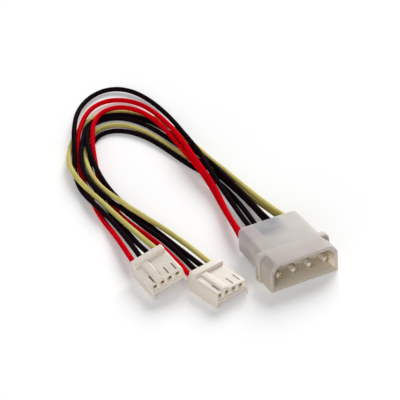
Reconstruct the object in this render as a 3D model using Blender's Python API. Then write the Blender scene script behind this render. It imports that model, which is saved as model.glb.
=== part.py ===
"""Power Y cable: a shrouded power plug that feeds two small drive sockets.

The cable lies on a table. The plug's shroud opens towards -Y, the wires leave it towards +Y,
run round one loose hairpin bend and come back to the two sockets on the left.
The origin is on the table under the middle of the shroud. Sizes below are in millimetres.
"""
import math

import bmesh
import bpy
import numpy as np
from mathutils import Matrix, Vector

MM = 0.001

# Wires
WIRE_DIAMETER = 1.6
WIRE_PAIR_GAP = 0.1
WIRE_END_GAP = 0.3
WIRE_SPACING = 0.3
TABLE_CLEARANCE = 0.05
WIRE_POINT_STEP = 3.6
STRAIGHT_EXIT = 2.6

# Power pins
PIN_PITCH = 5.08
PIN_COUNT = 4
PIN_RADIUS = 1.05
PIN_RECESS = 0.6
PIN_SLIT_WIDTH = 0.36
PIN_SLIT_DEPTH = 0.6
BARREL_RADIUS = WIRE_DIAMETER + WIRE_PAIR_GAP / 2
BARREL_LENGTH = 4.4
CRIMP_LENGTH = 3.4
CRIMP_WALL = 0.3

# Plug rear block, with one round hole for each pin's barrel and its two wires
PIN_CLEARANCE = 0.25
BARREL_CLEARANCE = 0.35
BARREL_END_GAP = 0.4
BLOCK_WALL = 0.28
BLOCK_FLOOR = 0.9
BLOCK_ROOF = 2.75
BLOCK_FOOT = 1.4
BLOCK_DRAFT = 0.2
BLOCK_ROUNDING = 1.5
WIRE_COVER = 4.5

# Plug shroud and flange
SHROUD_DEPTH = 8.5
SHROUD_STEP = 0.9
PLUG_WALL = 1.2
WEB_THICKNESS = 2.4
CORNER_CUT_X = 2.1
CORNER_CUT_Z = 2.05
HOLLOW_CUT_X = 1.5
HOLLOW_CUT_Z = 1.9
FLANGE_LENGTH = 2.5
FLANGE_LIP = 0.65
FLANGE_PROUD = 0.15
FLANGE_ROUNDING = 0.1

# Socket contacts
CONTACT_COUNT = 4
CONTACT_METAL = 0.22
CONTACT_SIDE_GAP = 0.25
CONTACT_TOP_GAP = 0.3
CONTACT_FRONT_GAP = 0.3
CONTACT_BOX_LENGTH = 5.6
CONTACT_TAIL_LENGTH = 2.6
CONTACT_TAIL_SIZE = 0.9

# Small drive sockets
CHAMBER_SIDE_ROOM = 0.2
CHAMBER_TOP_ROOM = 0.4
CHAMBER_WALL = 0.5
CHAMBER_FLOOR = 0.9
CHAMBER_ROOF = 0.3
SOCKET_SIDE_WALL = 0.7
SOCKET_UNDERSIDE = 1.4
SOCKET_WIRE_GRIP = 3.3
SOCKET_EDGE_ROUNDING = 0.7
RAIL_FLARE = 0.45
RAIL_WIDTH = 1.0
REAR_BAR_LENGTH = 2.9
REAR_BAR_RISE = 1.1
REAR_BAR_INSET = 0.15
REAR_BAR_ROUNDING = 0.5
KEY_WIDTH = 2.3
KEY_RISE = 0.6
FRONT_WALL = 1.4
FRONT_HOLE_RADIUS = 0.65
SLOT_SETBACK = 0.5
SLOT_LENGTH = 3.5
SLOT_WIDTH = 0.8
NARROW_SLOT_WIDTH = 0.4

# How the sockets lie: turned about Z, and leaning on one rail where one is tipped up
RIGHT_SOCKET_TURN = 11.3
RIGHT_SOCKET_FRONT = -1.5
LEFT_SOCKET_TURN = 0.9
LEFT_SOCKET_LEAN = 14.4
LEFT_SOCKET_SETBACK = 0.75
SOCKET_TO_SOCKET_GAP = 1.5
SOCKET_TO_PLUG_GAP = 4.65

# Sizes that follow from the ones above
CUT_OVERRUN = 2.0
PIN_SPAN = PIN_PITCH * (PIN_COUNT - 1)
REAR_HOLE_RADIUS = BARREL_RADIUS + BARREL_CLEARANCE
PIN_HOLE_RADIUS = PIN_RADIUS + PIN_CLEARANCE
PIN_HEIGHT = BLOCK_FOOT + BLOCK_FLOOR + REAR_HOLE_RADIUS
BLOCK_TOP = PIN_HEIGHT + REAR_HOLE_RADIUS + BLOCK_ROOF
PLUG_HEIGHT = BLOCK_TOP + FLANGE_PROUD
BLOCK_REAR_HALF = PIN_SPAN / 2 + REAR_HOLE_RADIUS + BLOCK_WALL
BLOCK_FRONT_HALF = BLOCK_REAR_HALF + BLOCK_DRAFT
PLUG_HALF_WIDTH = BLOCK_FRONT_HALF + SHROUD_STEP
FLANGE_HALF_WIDTH = PLUG_HALF_WIDTH + FLANGE_LIP
SHROUD_FRONT = -SHROUD_DEPTH / 2
SHROUD_REAR = SHROUD_DEPTH / 2
FLANGE_FRONT = SHROUD_REAR - FLANGE_LENGTH
HOLLOW_REAR = SHROUD_REAR - WEB_THICKNESS / 2
REAR_HOLE_FRONT = HOLLOW_REAR + WEB_THICKNESS
BARREL_FRONT = REAR_HOLE_FRONT + BARREL_END_GAP
BARREL_REAR = BARREL_FRONT + BARREL_LENGTH
CRIMP_END = BARREL_REAR + CRIMP_LENGTH
PLUG_REAR = CRIMP_END + WIRE_COVER
CHAMBER_WIDTH = WIRE_DIAMETER + 2 * CHAMBER_SIDE_ROOM
CHAMBER_HEIGHT = WIRE_DIAMETER + 2 * CHAMBER_TOP_ROOM
CONTACT_PITCH = CHAMBER_WIDTH + CHAMBER_WALL
CONTACT_SPAN = CONTACT_PITCH * (CONTACT_COUNT - 1)
CONTACT_WIDTH = CHAMBER_WIDTH - 2 * CONTACT_SIDE_GAP
CONTACT_DEPTH = CHAMBER_HEIGHT - 2 * CONTACT_TOP_GAP
CONTACT_HEIGHT = SOCKET_UNDERSIDE + CHAMBER_FLOOR + CHAMBER_HEIGHT / 2
CONTACT_FRONT = FRONT_WALL + CONTACT_FRONT_GAP
CONTACT_END = CONTACT_FRONT + CONTACT_BOX_LENGTH + CONTACT_TAIL_LENGTH
SOCKET_LENGTH = CONTACT_END + SOCKET_WIRE_GRIP
SOCKET_TOP = CONTACT_HEIGHT + CHAMBER_HEIGHT / 2 + CHAMBER_ROOF
SOCKET_HALF_WIDTH = (CONTACT_SPAN + CHAMBER_WIDTH) / 2 + SOCKET_SIDE_WALL
SOCKET_FOOT_HALF = SOCKET_HALF_WIDTH + RAIL_FLARE
REAR_BAR_FRONT = SOCKET_LENGTH - REAR_BAR_LENGTH
KEY_RIGHT = -CONTACT_PITCH / 2 + NARROW_SLOT_WIDTH + REAR_BAR_INSET / 3
KEY_LEFT = KEY_RIGHT - KEY_WIDTH
RIGHT_SOCKET_X = -FLANGE_HALF_WIDTH - SOCKET_TO_PLUG_GAP - SOCKET_FOOT_HALF
LEFT_SOCKET_X = RIGHT_SOCKET_X - 2 * SOCKET_FOOT_HALF - SOCKET_TO_SOCKET_GAP
LEFT_SOCKET_FRONT = RIGHT_SOCKET_FRONT + SOCKET_LENGTH - LEFT_SOCKET_SETBACK

# Route points of each wire from the plug to its socket: x, y and height of the centre line
ROUTES = {
    "wire_red_left": [
        (-6, 31.5, 4.1), (-4.4, 38.5, 3.5), (-2.8, 44.5, 3.2), (-1.7, 50, 3.2), (-1.1, 54.5, 3.6),
        (-1.1, 58.5, 4.2),
        (-1, 63, 4.7), (-0.5, 68.5, 4.7), (0.5, 74, 4.7), (1, 80, 4.4), (1.5, 85.5, 4.1), (2, 91, 3.7),
        (2, 97, 3.0), (2, 103.5, 2.0), (2, 110.5, 0.9), (0, 114.5, 0.9), (-2, 118, 0.9), (-5.5, 120, 0.9),
        (-9.5, 119.5, 1.1), (-14, 115.5, 2.0), (-18, 111, 2.8), (-21.5, 106.5, 2.8), (-24, 102, 2.8),
        (-25.5, 100, 2.2), (-26.5, 98, 1.4), (-27.5, 95.5, 0.9), (-29, 92, 0.9), (-30.5, 88, 0.9),
        (-32, 84, 0.9), (-33.5, 79.5, 0.9), (-34, 73, 0.9), (-35.5, 67.5, 0.9), (-36.5, 61.5, 0.9),
        (-37.5, 55.5, 0.9), (-37.5, 48, 1.5), (-38.5, 40.5, 2.6)],
    "wire_red_right": [
        (-4.5, 34, 2.0), (-3.5, 41, 1.2), (-2, 46.5, 0.9), (-1, 52, 0.9), (-0.5, 57, 1.6), (-0.5, 62, 2.8),
        (0, 68, 2.8), (0, 74, 2.8), (0.5, 80.5, 2.8), (0.5, 87, 2.8), (0.5, 93.5, 2.8), (-0.5, 99.5, 2.8),
        (-2, 105, 2.8), (-4, 109, 2.8), (-6.5, 111.5, 2.8), (-10, 112, 2.8), (-13.5, 110.5, 2.9),
        (-17, 107, 3.1), (-19.5, 103, 3.3), (-21.5, 99, 3.0), (-23.5, 95.5, 2.8), (-24.5, 92, 2.4),
        (-25.5, 88.5, 1.5), (-26.5, 84.5, 0.9), (-28, 81.5, 0.9), (-29.5, 76.5, 0.9), (-30, 70.5, 0.9),
        (-31.5, 64.5, 0.9), (-31.5, 58, 0.9), (-31, 51.5, 0.9), (-30, 44.5, 0.9), (-29, 38, 1.4),
        (-28.5, 31, 1.8), (-28.3, 24.5, 2.1), (-28.5, 19, 2.8)],
    "wire_black_left_outer": [
        (-2, 32, 3.0), (-0.5, 39, 1.8), (0, 44.5, 1.8), (0, 49, 2.8), (0, 54, 4.0), (1, 59.5, 4.7),
        (1.5, 65.5, 4.7), (3, 72.5, 4.0), (3.5, 80.5, 3.2), (4.5, 89, 2.6), (5.5, 98.5, 1.4), (5.5, 107, 0.9),
        (4.5, 114, 0.9), (3, 120, 0.9), (0.5, 124.5, 0.9), (-2.5, 127, 0.9), (-7, 126.5, 0.9),
        (-11.5, 124, 0.9), (-16, 119.5, 1.6), (-20.5, 113, 2.8), (-23.5, 107.5, 2.9), (-25.5, 103, 2.9),
        (-28, 97, 2.8), (-29.5, 93, 2.6), (-32, 88.5, 1.2), (-33.5, 85, 0.9), (-35, 80.5, 0.9),
        (-36, 73.5, 1.1), (-37, 65, 2.6), (-36.5, 58, 2.8), (-35.5, 52.5, 2.0), (-36, 45.5, 2.2),
        (-36.5, 38.5, 3.2)],
    "wire_black_left_inner": [
        (0.5, 32, 3.0), (2, 40, 1.6), (2.5, 47, 0.9), (3, 53, 0.9), (2.5, 59, 0.9), (1, 63.5, 0.9),
        (-0.5, 68, 0.9), (-1.2, 72.5, 0.9), (-1.9, 78.5, 0.9), (-3.1, 85, 0.9), (-4.6, 90.5, 0.9),
        (-6.8, 96, 0.9), (-9.8, 100, 0.9), (-13, 102.8, 0.9), (-16, 103.3, 0.9), (-19, 101.8, 0.9),
        (-22, 98.5, 0.9), (-24.5, 94.5, 0.9), (-26.5, 90, 0.9), (-28, 86.5, 0.9), (-29.5, 82.5, 0.9),
        (-31.5, 78, 0.9), (-32, 71.5, 0.9), (-33, 65.5, 0.9), (-33, 59, 0.9), (-33.5, 53, 0.9),
        (-33.5, 46, 1.2), (-34.5, 38.5, 2.4)],
    "wire_black_right_outer": [
        (2.5, 31.5, 4.0), (3.5, 38.5, 3.0), (3.2, 45, 2.8), (2.7, 51.5, 2.8), (2.6, 57.5, 2.8), (2.2, 64, 2.8),
        (2, 69.5, 2.6), (2, 76.5, 1.4), (1.5, 82.5, 0.9), (1, 88.5, 0.9), (0, 95.5, 0.9), (-2, 101.5, 0.9),
        (-4.5, 106, 0.9), (-7.5, 109, 0.9), (-11, 111, 0.9), (-14.5, 111.5, 0.9), (-17.5, 110, 0.9),
        (-20.5, 107, 0.9), (-22.5, 103, 1.2), (-24.5, 98.5, 2.0), (-27, 94.5, 2.6), (-28.5, 91, 2.8),
        (-30, 87.5, 2.8), (-32, 82, 2.8), (-33, 75.5, 2.9), (-33.5, 68.5, 3.2), (-32.5, 62, 2.8),
        (-31.5, 58.5, 2.4), (-29.5, 56.5, 1.2), (-29.5, 50.5, 0.9), (-28, 43, 0.9), (-27, 37, 1.2),
        (-26.5, 29.5, 2.2)],
    "wire_black_right_inner": [
        (4, 34, 2.0), (4.5, 40.5, 1.1), (4.5, 47, 0.9), (4.1, 53, 1.0), (3.2, 57, 1.8), (2, 61.5, 2.8),
        (0.5, 66.5, 2.8), (0.5, 72.5, 2.0), (0.5, 79, 0.9), (-0.5, 85, 0.9), (-1.5, 91.5, 0.9), (-3, 97, 1.2),
        (-5.5, 102.5, 1.5), (-8.5, 107, 1.5), (-11.5, 109, 1.3), (-13.5, 110, 0.9), (-16.5, 108.5, 1.0),
        (-19, 106, 1.7), (-22, 102, 2.7), (-24, 97, 3.4), (-25.5, 93.5, 3.4), (-26.5, 90, 3.2),
        (-27, 86.5, 3.0), (-28, 81.5, 2.9), (-29.5, 73, 2.8), (-29.5, 67.5, 2.3), (-29, 63, 0.9),
        (-27.5, 55.5, 0.9), (-27.5, 49, 0.9), (-26, 42, 0.9), (-25.5, 34.5, 1.2), (-25, 27, 2.2)],
    "wire_yellow_right": [
        (7.3, 33, 2.0), (7.1, 39.5, 1.1), (6.8, 45.5, 0.9), (6.3, 51, 0.9), (5.7, 57, 0.9), (4.8, 62, 0.9),
        (3.2, 66.5, 0.9), (1.5, 70.5, 0.9), (0, 75, 0.9), (-1, 81, 0.9), (-2.5, 87.5, 0.9), (-4.5, 93.5, 0.9),
        (-6.5, 99, 0.9), (-9.5, 103.5, 0.9), (-13, 105.5, 0.9), (-16.5, 105, 0.9), (-20.5, 102, 0.9),
        (-23.5, 98.5, 0.9), (-26, 94.5, 0.9), (-28.5, 88.5, 1.8), (-31, 80.5, 2.6), (-32.2, 74.5, 2.6),
        (-32.4, 68, 2.5), (-31.4, 60.5, 2.8), (-30.9, 56.5, 2.9), (-29.8, 53, 2.9), (-27.8, 46, 2.4),
        (-25, 40, 1.6), (-23.5, 33, 1.4), (-22.5, 25.5, 2.3)],
    "wire_yellow_left": [
        (6.5, 30.5, 4.2), (6.5, 37.5, 3.2), (6.2, 44, 2.7), (5.7, 50.5, 2.6), (5.5, 56.5, 2.3), (5.2, 63.5, 1.5),
        (5.4, 70.5, 0.9), (5.3, 75.5, 0.9), (5, 81, 0.9), (4.5, 86.5, 0.9), (4, 93, 0.9), (2.5, 98.5, 0.9),
        (0.5, 103, 0.9), (-2, 107, 0.9), (-5, 110.5, 0.9), (-8.5, 112.5, 0.9), (-12, 113, 0.9),
        (-15.5, 112.5, 0.9), (-19.5, 109.5, 0.9), (-23, 106.5, 0.9), (-26.5, 102.5, 0.9), (-29.5, 97, 1.0),
        (-32, 92.5, 1.6), (-34, 87, 2.6), (-35, 82, 2.8), (-35.5, 77.5, 2.7), (-35, 70.5, 2.7),
        (-34.5, 63.5, 2.8), (-34, 56.5, 2.8), (-33.5, 49.5, 2.8), (-33, 42, 3.2), (-33, 35, 4.3)],
}

# Each wire's plug pin, its place in that pin's rear hole sideways and upwards in wire spacings,
# then its socket and contact
WIRE_ENDS = {
    "wire_red_left": (0, 0.0, 0.5, "left", 0),
    "wire_red_right": (0, 0.0, -0.5, "right", 0),
    "wire_black_left_outer": (1, -0.5, 0.0, "left", 1),
    "wire_black_left_inner": (1, 0.5, 0.0, "left", 2),
    "wire_black_right_outer": (2, 0.0, 0.5, "right", 1),
    "wire_black_right_inner": (2, 0.0, -0.5, "right", 2),
    "wire_yellow_right": (3, 0.0, -0.5, "right", 3),
    "wire_yellow_left": (3, 0.0, 0.5, "left", 3),
}


def clear_scene():
    for item in list(bpy.data.objects):
        bpy.data.objects.remove(item, do_unlink=True)


def make_material(name, color, roughness, metallic=0.0):
    material = bpy.data.materials.new(name)
    material.use_nodes = True
    shader = material.node_tree.nodes["Principled BSDF"]
    shader.inputs["Base Color"].default_value = (*color, 1.0)
    shader.inputs["Roughness"].default_value = roughness
    shader.inputs["Metallic"].default_value = metallic
    material.diffuse_color = (*color, 1.0)
    return material


def mesh_object(name, solid, material, placement=None):
    """Make one closed mesh object from corners in millimetres."""
    corners, faces = solid
    points = [Vector(corner) for corner in corners]
    if placement is not None:
        points = [placement @ point for point in points]
    mesh = bpy.data.meshes.new(name)
    mesh.from_pydata([point * MM for point in points], [], faces)
    work = bmesh.new()
    work.from_mesh(mesh)
    bmesh.ops.recalc_face_normals(work, faces=work.faces)
    work.to_mesh(mesh)
    work.free()
    mesh.materials.append(material)
    item = bpy.data.objects.new(name, mesh)
    bpy.context.scene.collection.objects.link(item)
    return item


def smooth(item, angle=35):
    item.data.shade_smooth()
    item.data.set_sharp_from_angle(angle=math.radians(angle))


def change_with(target, name, operation, solid, placement=None):
    """Cut a solid out of the target, or fuse it on, with an exact Boolean."""
    tool = mesh_object(name, solid, target.data.materials[0], placement)
    tool.hide_render = True
    tool.display_type = "WIRE"
    change = target.modifiers.new(name, "BOOLEAN")
    change.operation = operation
    change.solver = "EXACT"
    change.object = tool


def stack_rings(rings):
    """Join rings of equal length into a closed skin with a cap at each end."""
    count = len(rings[0])
    corners = [corner for ring in rings for corner in ring]
    faces = [tuple(range(count)), tuple(range(len(corners) - count, len(corners)))]
    for level in range(len(rings) - 1):
        low = level * count
        for here in range(count):
            after = (here + 1) % count
            faces.append((low + here, low + after, low + count + after, low + count + here))
    return corners, faces


def gather(solids):
    """Put several closed skins that stay apart into one list of corners and faces."""
    corners = []
    faces = []
    for more_corners, more_faces in solids:
        start = len(corners)
        corners += more_corners
        faces += [tuple(start + index for index in face) for face in more_faces]
    return corners, faces


def section(outline, y):
    return [(x, y, z) for x, z in outline]


def prism(outline, front, rear):
    return stack_rings([section(outline, front), section(outline, rear)])


def box(x_low, x_high, front, rear, z_low, z_high):
    outline = [(x_low, z_low), (x_high, z_low), (x_high, z_high), (x_low, z_high)]
    return prism(outline, front, rear)


def rod(x, z, radius, front, rear, sides=24):
    angles = [2 * math.pi * step / sides for step in range(sides)]
    outline = [(x + radius * math.cos(angle), z + radius * math.sin(angle)) for angle in angles]
    return prism(outline, front, rear)


def mirrored(right_side):
    """A whole section from its right side, listed from the foot up to the top."""
    return right_side + [(-x, z) for x, z in reversed(right_side)]


def cut_corner(half, top, cut_x, cut_z):
    """A top right corner cut off straight, in the same number of points as a rounded one."""
    shares = (0, 1 / 3, 2 / 3, 1)
    return [(half - cut_x * share, top - cut_z * (1 - share)) for share in shares]


def round_corner(half, top, radius):
    angles = [math.pi / 2 * step / 3 for step in range(4)]
    return [(half - radius * (1 - math.cos(angle)), top - radius * (1 - math.sin(angle))) for angle in angles]


def pin_places():
    return [PIN_PITCH * index - PIN_SPAN / 2 for index in range(PIN_COUNT)]


def contact_places():
    return [CONTACT_PITCH * index - CONTACT_SPAN / 2 for index in range(CONTACT_COUNT)]


def make_plug_housing(material):
    """The shroud, the flange round its rear and the narrower block that holds the pins."""
    shroud = mirrored([(PLUG_HALF_WIDTH, 0)]
                      + cut_corner(PLUG_HALF_WIDTH, BLOCK_TOP, CORNER_CUT_X, CORNER_CUT_Z))
    flange = mirrored([(FLANGE_HALF_WIDTH, FLANGE_PROUD)]
                      + round_corner(FLANGE_HALF_WIDTH, PLUG_HEIGHT, FLANGE_ROUNDING))
    block_front = mirrored([(BLOCK_FRONT_HALF, BLOCK_FOOT)]
                           + round_corner(BLOCK_FRONT_HALF, BLOCK_TOP, BLOCK_ROUNDING))
    block_rear = mirrored([(BLOCK_REAR_HALF, BLOCK_FOOT)]
                          + round_corner(BLOCK_REAR_HALF, BLOCK_TOP, BLOCK_ROUNDING))
    body = stack_rings([
        section(shroud, SHROUD_FRONT), section(shroud, FLANGE_FRONT),
        section(flange, FLANGE_FRONT), section(flange, SHROUD_REAR),
        section(block_front, SHROUD_REAR), section(block_rear, PLUG_REAR)])
    housing = mesh_object("plug_housing", body, material)
    hollow_half = PLUG_HALF_WIDTH - PLUG_WALL
    hollow = mirrored([(hollow_half, PLUG_WALL)]
                      + cut_corner(hollow_half, PLUG_HEIGHT - PLUG_WALL, HOLLOW_CUT_X, HOLLOW_CUT_Z))
    change_with(housing, "cut_hollow", "DIFFERENCE", prism(hollow, SHROUD_FRONT - CUT_OVERRUN, HOLLOW_REAR))
    pin_holes = [rod(x, PIN_HEIGHT, PIN_HOLE_RADIUS, HOLLOW_REAR - CUT_OVERRUN, BARREL_FRONT)
                 for x in pin_places()]
    change_with(housing, "cut_pin_holes", "DIFFERENCE", gather(pin_holes))
    rear_holes = [rod(x, PIN_HEIGHT, REAR_HOLE_RADIUS, REAR_HOLE_FRONT, PLUG_REAR + CUT_OVERRUN)
                  for x in pin_places()]
    change_with(housing, "cut_rear_holes", "DIFFERENCE", gather(rear_holes))


def slit_ring(x, y, radius, slit_width, slit_depth, sides=16):
    """A ring about the pin's axis with a slit in its top."""
    half_angle = math.asin(slit_width / 2 / radius)
    start = math.pi / 2 + half_angle
    sweep = 2 * math.pi - 2 * half_angle
    ring = []
    for step in range(sides):
        angle = start + sweep * step / (sides - 1)
        ring.append((x + radius * math.cos(angle), y, PIN_HEIGHT + radius * math.sin(angle)))
    floor = PIN_HEIGHT + radius * math.cos(half_angle) - slit_depth
    ring.append((x + slit_width / 2, y, floor))
    ring.append((x - slit_width / 2, y, floor))
    return ring


def make_pin(name, x, material):
    """A round pin with a rounded slit nose, a fatter barrel and a hollow crimp."""
    tip = SHROUD_FRONT + PIN_RECESS
    slit_end = HOLLOW_REAR - PIN_RECESS / 3
    rings = []
    for along, share in ((0.0, 0.43), (0.19, 0.71), (0.57, 0.9), (1.05, 1.0)):
        rings.append(slit_ring(x, tip + PIN_RADIUS * along, PIN_RADIUS * share,
                               PIN_SLIT_WIDTH * share, PIN_SLIT_DEPTH * share))
    rings.append(slit_ring(x, slit_end, PIN_RADIUS, PIN_SLIT_WIDTH, PIN_SLIT_DEPTH))
    crimp_radius = BARREL_RADIUS - CRIMP_WALL
    profile = [
        (slit_end + CRIMP_WALL, PIN_RADIUS), (BARREL_FRONT, PIN_RADIUS), (BARREL_FRONT, BARREL_RADIUS),
        (BARREL_REAR, BARREL_RADIUS), (BARREL_REAR + CRIMP_WALL, crimp_radius), (CRIMP_END, crimp_radius),
        (CRIMP_END, crimp_radius - CRIMP_WALL), (BARREL_REAR + CRIMP_LENGTH / 3, crimp_radius - CRIMP_WALL)]
    seam_depth = PIN_SLIT_DEPTH / 15
    for y, radius in profile:
        rings.append(slit_ring(x, y, radius, PIN_SLIT_WIDTH, seam_depth))
    smooth(mesh_object(name, stack_rings(rings), material))


def socket_placements():
    """Where each socket stands: the left one leans on its outer rail, the right one lies flat."""
    lean = math.radians(LEFT_SOCKET_LEAN)
    lift = SOCKET_FOOT_HALF * math.sin(lean)
    left = (Matrix.Translation((LEFT_SOCKET_X, LEFT_SOCKET_FRONT, lift))
            @ Matrix.Rotation(math.radians(LEFT_SOCKET_TURN), 4, "Z")
            @ Matrix.Rotation(-lean, 4, "Y"))
    right = (Matrix.Translation((RIGHT_SOCKET_X, RIGHT_SOCKET_FRONT, 0))
             @ Matrix.Rotation(math.radians(RIGHT_SOCKET_TURN), 4, "Z"))
    return {"left": left, "right": right}


def socket_outline():
    """The socket's section: flat top, sides that flare at the foot, and two rails to stand on."""
    half = SOCKET_HALF_WIDTH
    rounding = SOCKET_EDGE_ROUNDING
    top = SOCKET_TOP
    rail = SOCKET_FOOT_HALF - RAIL_WIDTH
    return mirrored([
        (rail, SOCKET_UNDERSIDE), (rail, SOCKET_UNDERSIDE * 0.43), (rail + RAIL_WIDTH * 0.3, 0),
        (SOCKET_FOOT_HALF, 0), (half + RAIL_FLARE * 0.65, SOCKET_UNDERSIDE * 0.36),
        (half + RAIL_FLARE * 0.25, SOCKET_UNDERSIDE * 0.86), (half, SOCKET_UNDERSIDE * 1.57),
        (half, top - rounding), (half - rounding * 0.29, top - rounding * 0.29), (half - rounding, top)])


def slot_box(x):
    """The slot over one contact, which shows in the socket's top."""
    left = x - SLOT_WIDTH / 2
    right = x + SLOT_WIDTH / 2
    if KEY_LEFT < x < KEY_RIGHT:
        left = KEY_RIGHT + REAR_BAR_INSET / 3
        right = left + NARROW_SLOT_WIDTH
    front = FRONT_WALL + SLOT_SETBACK
    low = CONTACT_HEIGHT + CHAMBER_HEIGHT / 2 - CHAMBER_ROOF
    return box(left, right, front, front + SLOT_LENGTH, low, SOCKET_TOP + CUT_OVERRUN)


def make_socket(name, placement, material):
    """One socket housing with its rear bar, key, contact chambers, pin holes and top slots."""
    socket = mesh_object(name, prism(socket_outline(), 0, SOCKET_LENGTH), material, placement)
    bar_half = SOCKET_HALF_WIDTH - REAR_BAR_INSET
    bar_top = SOCKET_TOP + REAR_BAR_RISE
    rounding = REAR_BAR_ROUNDING
    bar = mirrored([(bar_half, CONTACT_HEIGHT + CHAMBER_HEIGHT / 4), (bar_half, bar_top - rounding),
                    (bar_half - rounding, bar_top)])
    bar_solid = prism(bar, REAR_BAR_FRONT, SOCKET_LENGTH - REAR_BAR_INSET)
    change_with(socket, name + "_bar", "UNION", bar_solid, placement)
    key_solid = box(KEY_LEFT, KEY_RIGHT, REAR_BAR_INSET, REAR_BAR_FRONT + REAR_BAR_INSET,
                    SOCKET_TOP - CHAMBER_ROOF / 2, SOCKET_TOP + KEY_RISE)
    change_with(socket, name + "_key", "UNION", key_solid, placement)
    reach = CHAMBER_WIDTH / 2
    low = CONTACT_HEIGHT - CHAMBER_HEIGHT / 2
    high = CONTACT_HEIGHT + CHAMBER_HEIGHT / 2
    chambers = [box(x - reach, x + reach, FRONT_WALL, SOCKET_LENGTH + CUT_OVERRUN, low, high)
                for x in contact_places()]
    change_with(socket, name + "_chambers", "DIFFERENCE", gather(chambers), placement)
    holes = [rod(x, CONTACT_HEIGHT, FRONT_HOLE_RADIUS, -CUT_OVERRUN, CONTACT_FRONT, 16)
             for x in contact_places()]
    change_with(socket, name + "_pin_holes", "DIFFERENCE", gather(holes), placement)
    slots = [slot_box(x) for x in contact_places()]
    change_with(socket, name + "_slots", "DIFFERENCE", gather(slots), placement)


def make_contact(name, x, placement, material):
    """A square tube that grips the drive's pin, with a thin tail towards the wire."""
    outer = (CONTACT_WIDTH / 2, CONTACT_DEPTH / 2)
    inner = (outer[0] - CONTACT_METAL, outer[1] - CONTACT_METAL)
    tail = (CONTACT_TAIL_SIZE / 2, CONTACT_TAIL_SIZE / 2)
    rear = CONTACT_FRONT + CONTACT_BOX_LENGTH
    steps = [(rear - CONTACT_METAL * 3, inner), (CONTACT_FRONT, inner), (CONTACT_FRONT, outer),
             (rear, outer), (rear + CONTACT_METAL, tail), (CONTACT_END, tail)]
    rings = []
    for y, (wide, tall) in steps:
        low = CONTACT_HEIGHT - tall
        high = CONTACT_HEIGHT + tall
        rings.append([(x - wide, y, low), (x + wide, y, low), (x + wide, y, high), (x - wide, y, high)])
    mesh_object(name, stack_rings(rings), material, placement)


def mix(first, second, t, start, stop):
    share = (t - start) / (stop - start)
    return first * (1 - share) + second * share


def blend(t, knots, corners):
    """One point of a centripetal Catmull-Rom span."""
    level = list(corners)
    for width in (1, 2):
        level = [mix(level[i], level[i + 1], t, knots[i], knots[i + width]) for i in range(4 - width)]
    return mix(level[0], level[1], t, knots[1], knots[2])


def smooth_curve(points, step=0.5):
    """Read a smooth curve through the route points, a short step apart."""
    route = np.array(points, dtype=float)
    route = np.vstack([2 * route[0] - route[1], route, 2 * route[-1] - route[-2]])
    curve = []
    for index in range(1, len(route) - 2):
        corners = route[index - 1:index + 3]
        knots = [0.0]
        for start, stop in zip(corners[:-1], corners[1:]):
            knots.append(knots[-1] + np.linalg.norm(stop - start) ** 0.5)
        count = max(2, int(np.linalg.norm(corners[2] - corners[1]) / step) + 1)
        for t in np.linspace(knots[1], knots[2], count, endpoint=False):
            curve.append(blend(t, knots, corners))
    curve.append(route[-2])
    return np.array(curve)


def even_steps(curve, step):
    """Points along a curve at equal distances close to the step."""
    lengths = np.linalg.norm(np.diff(curve, axis=0), axis=1)
    along = np.concatenate([[0.0], np.cumsum(lengths)])
    places = np.linspace(0.0, along[-1], int(round(along[-1] / step)) + 1)
    return np.column_stack([np.interp(places, along, curve[:, axis]) for axis in range(3)])


def even_out(values, inner, share):
    """Move each inner value towards the middle of its neighbours by a share."""
    middle = (values[inner - 1] + values[inner + 1]) / 2
    result = values.copy()
    result[inner] += share * (middle - values[inner])
    return result


def calm(values, inner, passes):
    """Even out values along each wire, pass after pass."""
    for _ in range(passes):
        values = even_out(values, inner, 0.5)
    return values


def near_pairs(points, owner, reach):
    """Pairs of points on different wires that lie within reach of one another."""
    distance = ((points[:, None, :] - points[None, :, :]) ** 2).sum(axis=2)
    return np.nonzero((distance < reach ** 2) & (owner[:, None] < owner[None, :]))


def push_once(points, pairs, need):
    """How far each point is pushed away from the wires that it is too close to."""
    first, second = pairs
    apart = points[first] - points[second]
    distance = np.sqrt((apart ** 2).sum(axis=1))[:, None] + 1e-9
    push = np.maximum(0, need - distance) * apart / distance
    touching = (distance < need).astype(float)
    total = np.zeros_like(points)
    count = np.zeros((len(points), 1))
    for side, sign in ((first, 1), (second, -1)):
        np.add.at(total, side, sign * push)
        np.add.at(count, side, touching)
    return total / np.maximum(1, count) / 2


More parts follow.
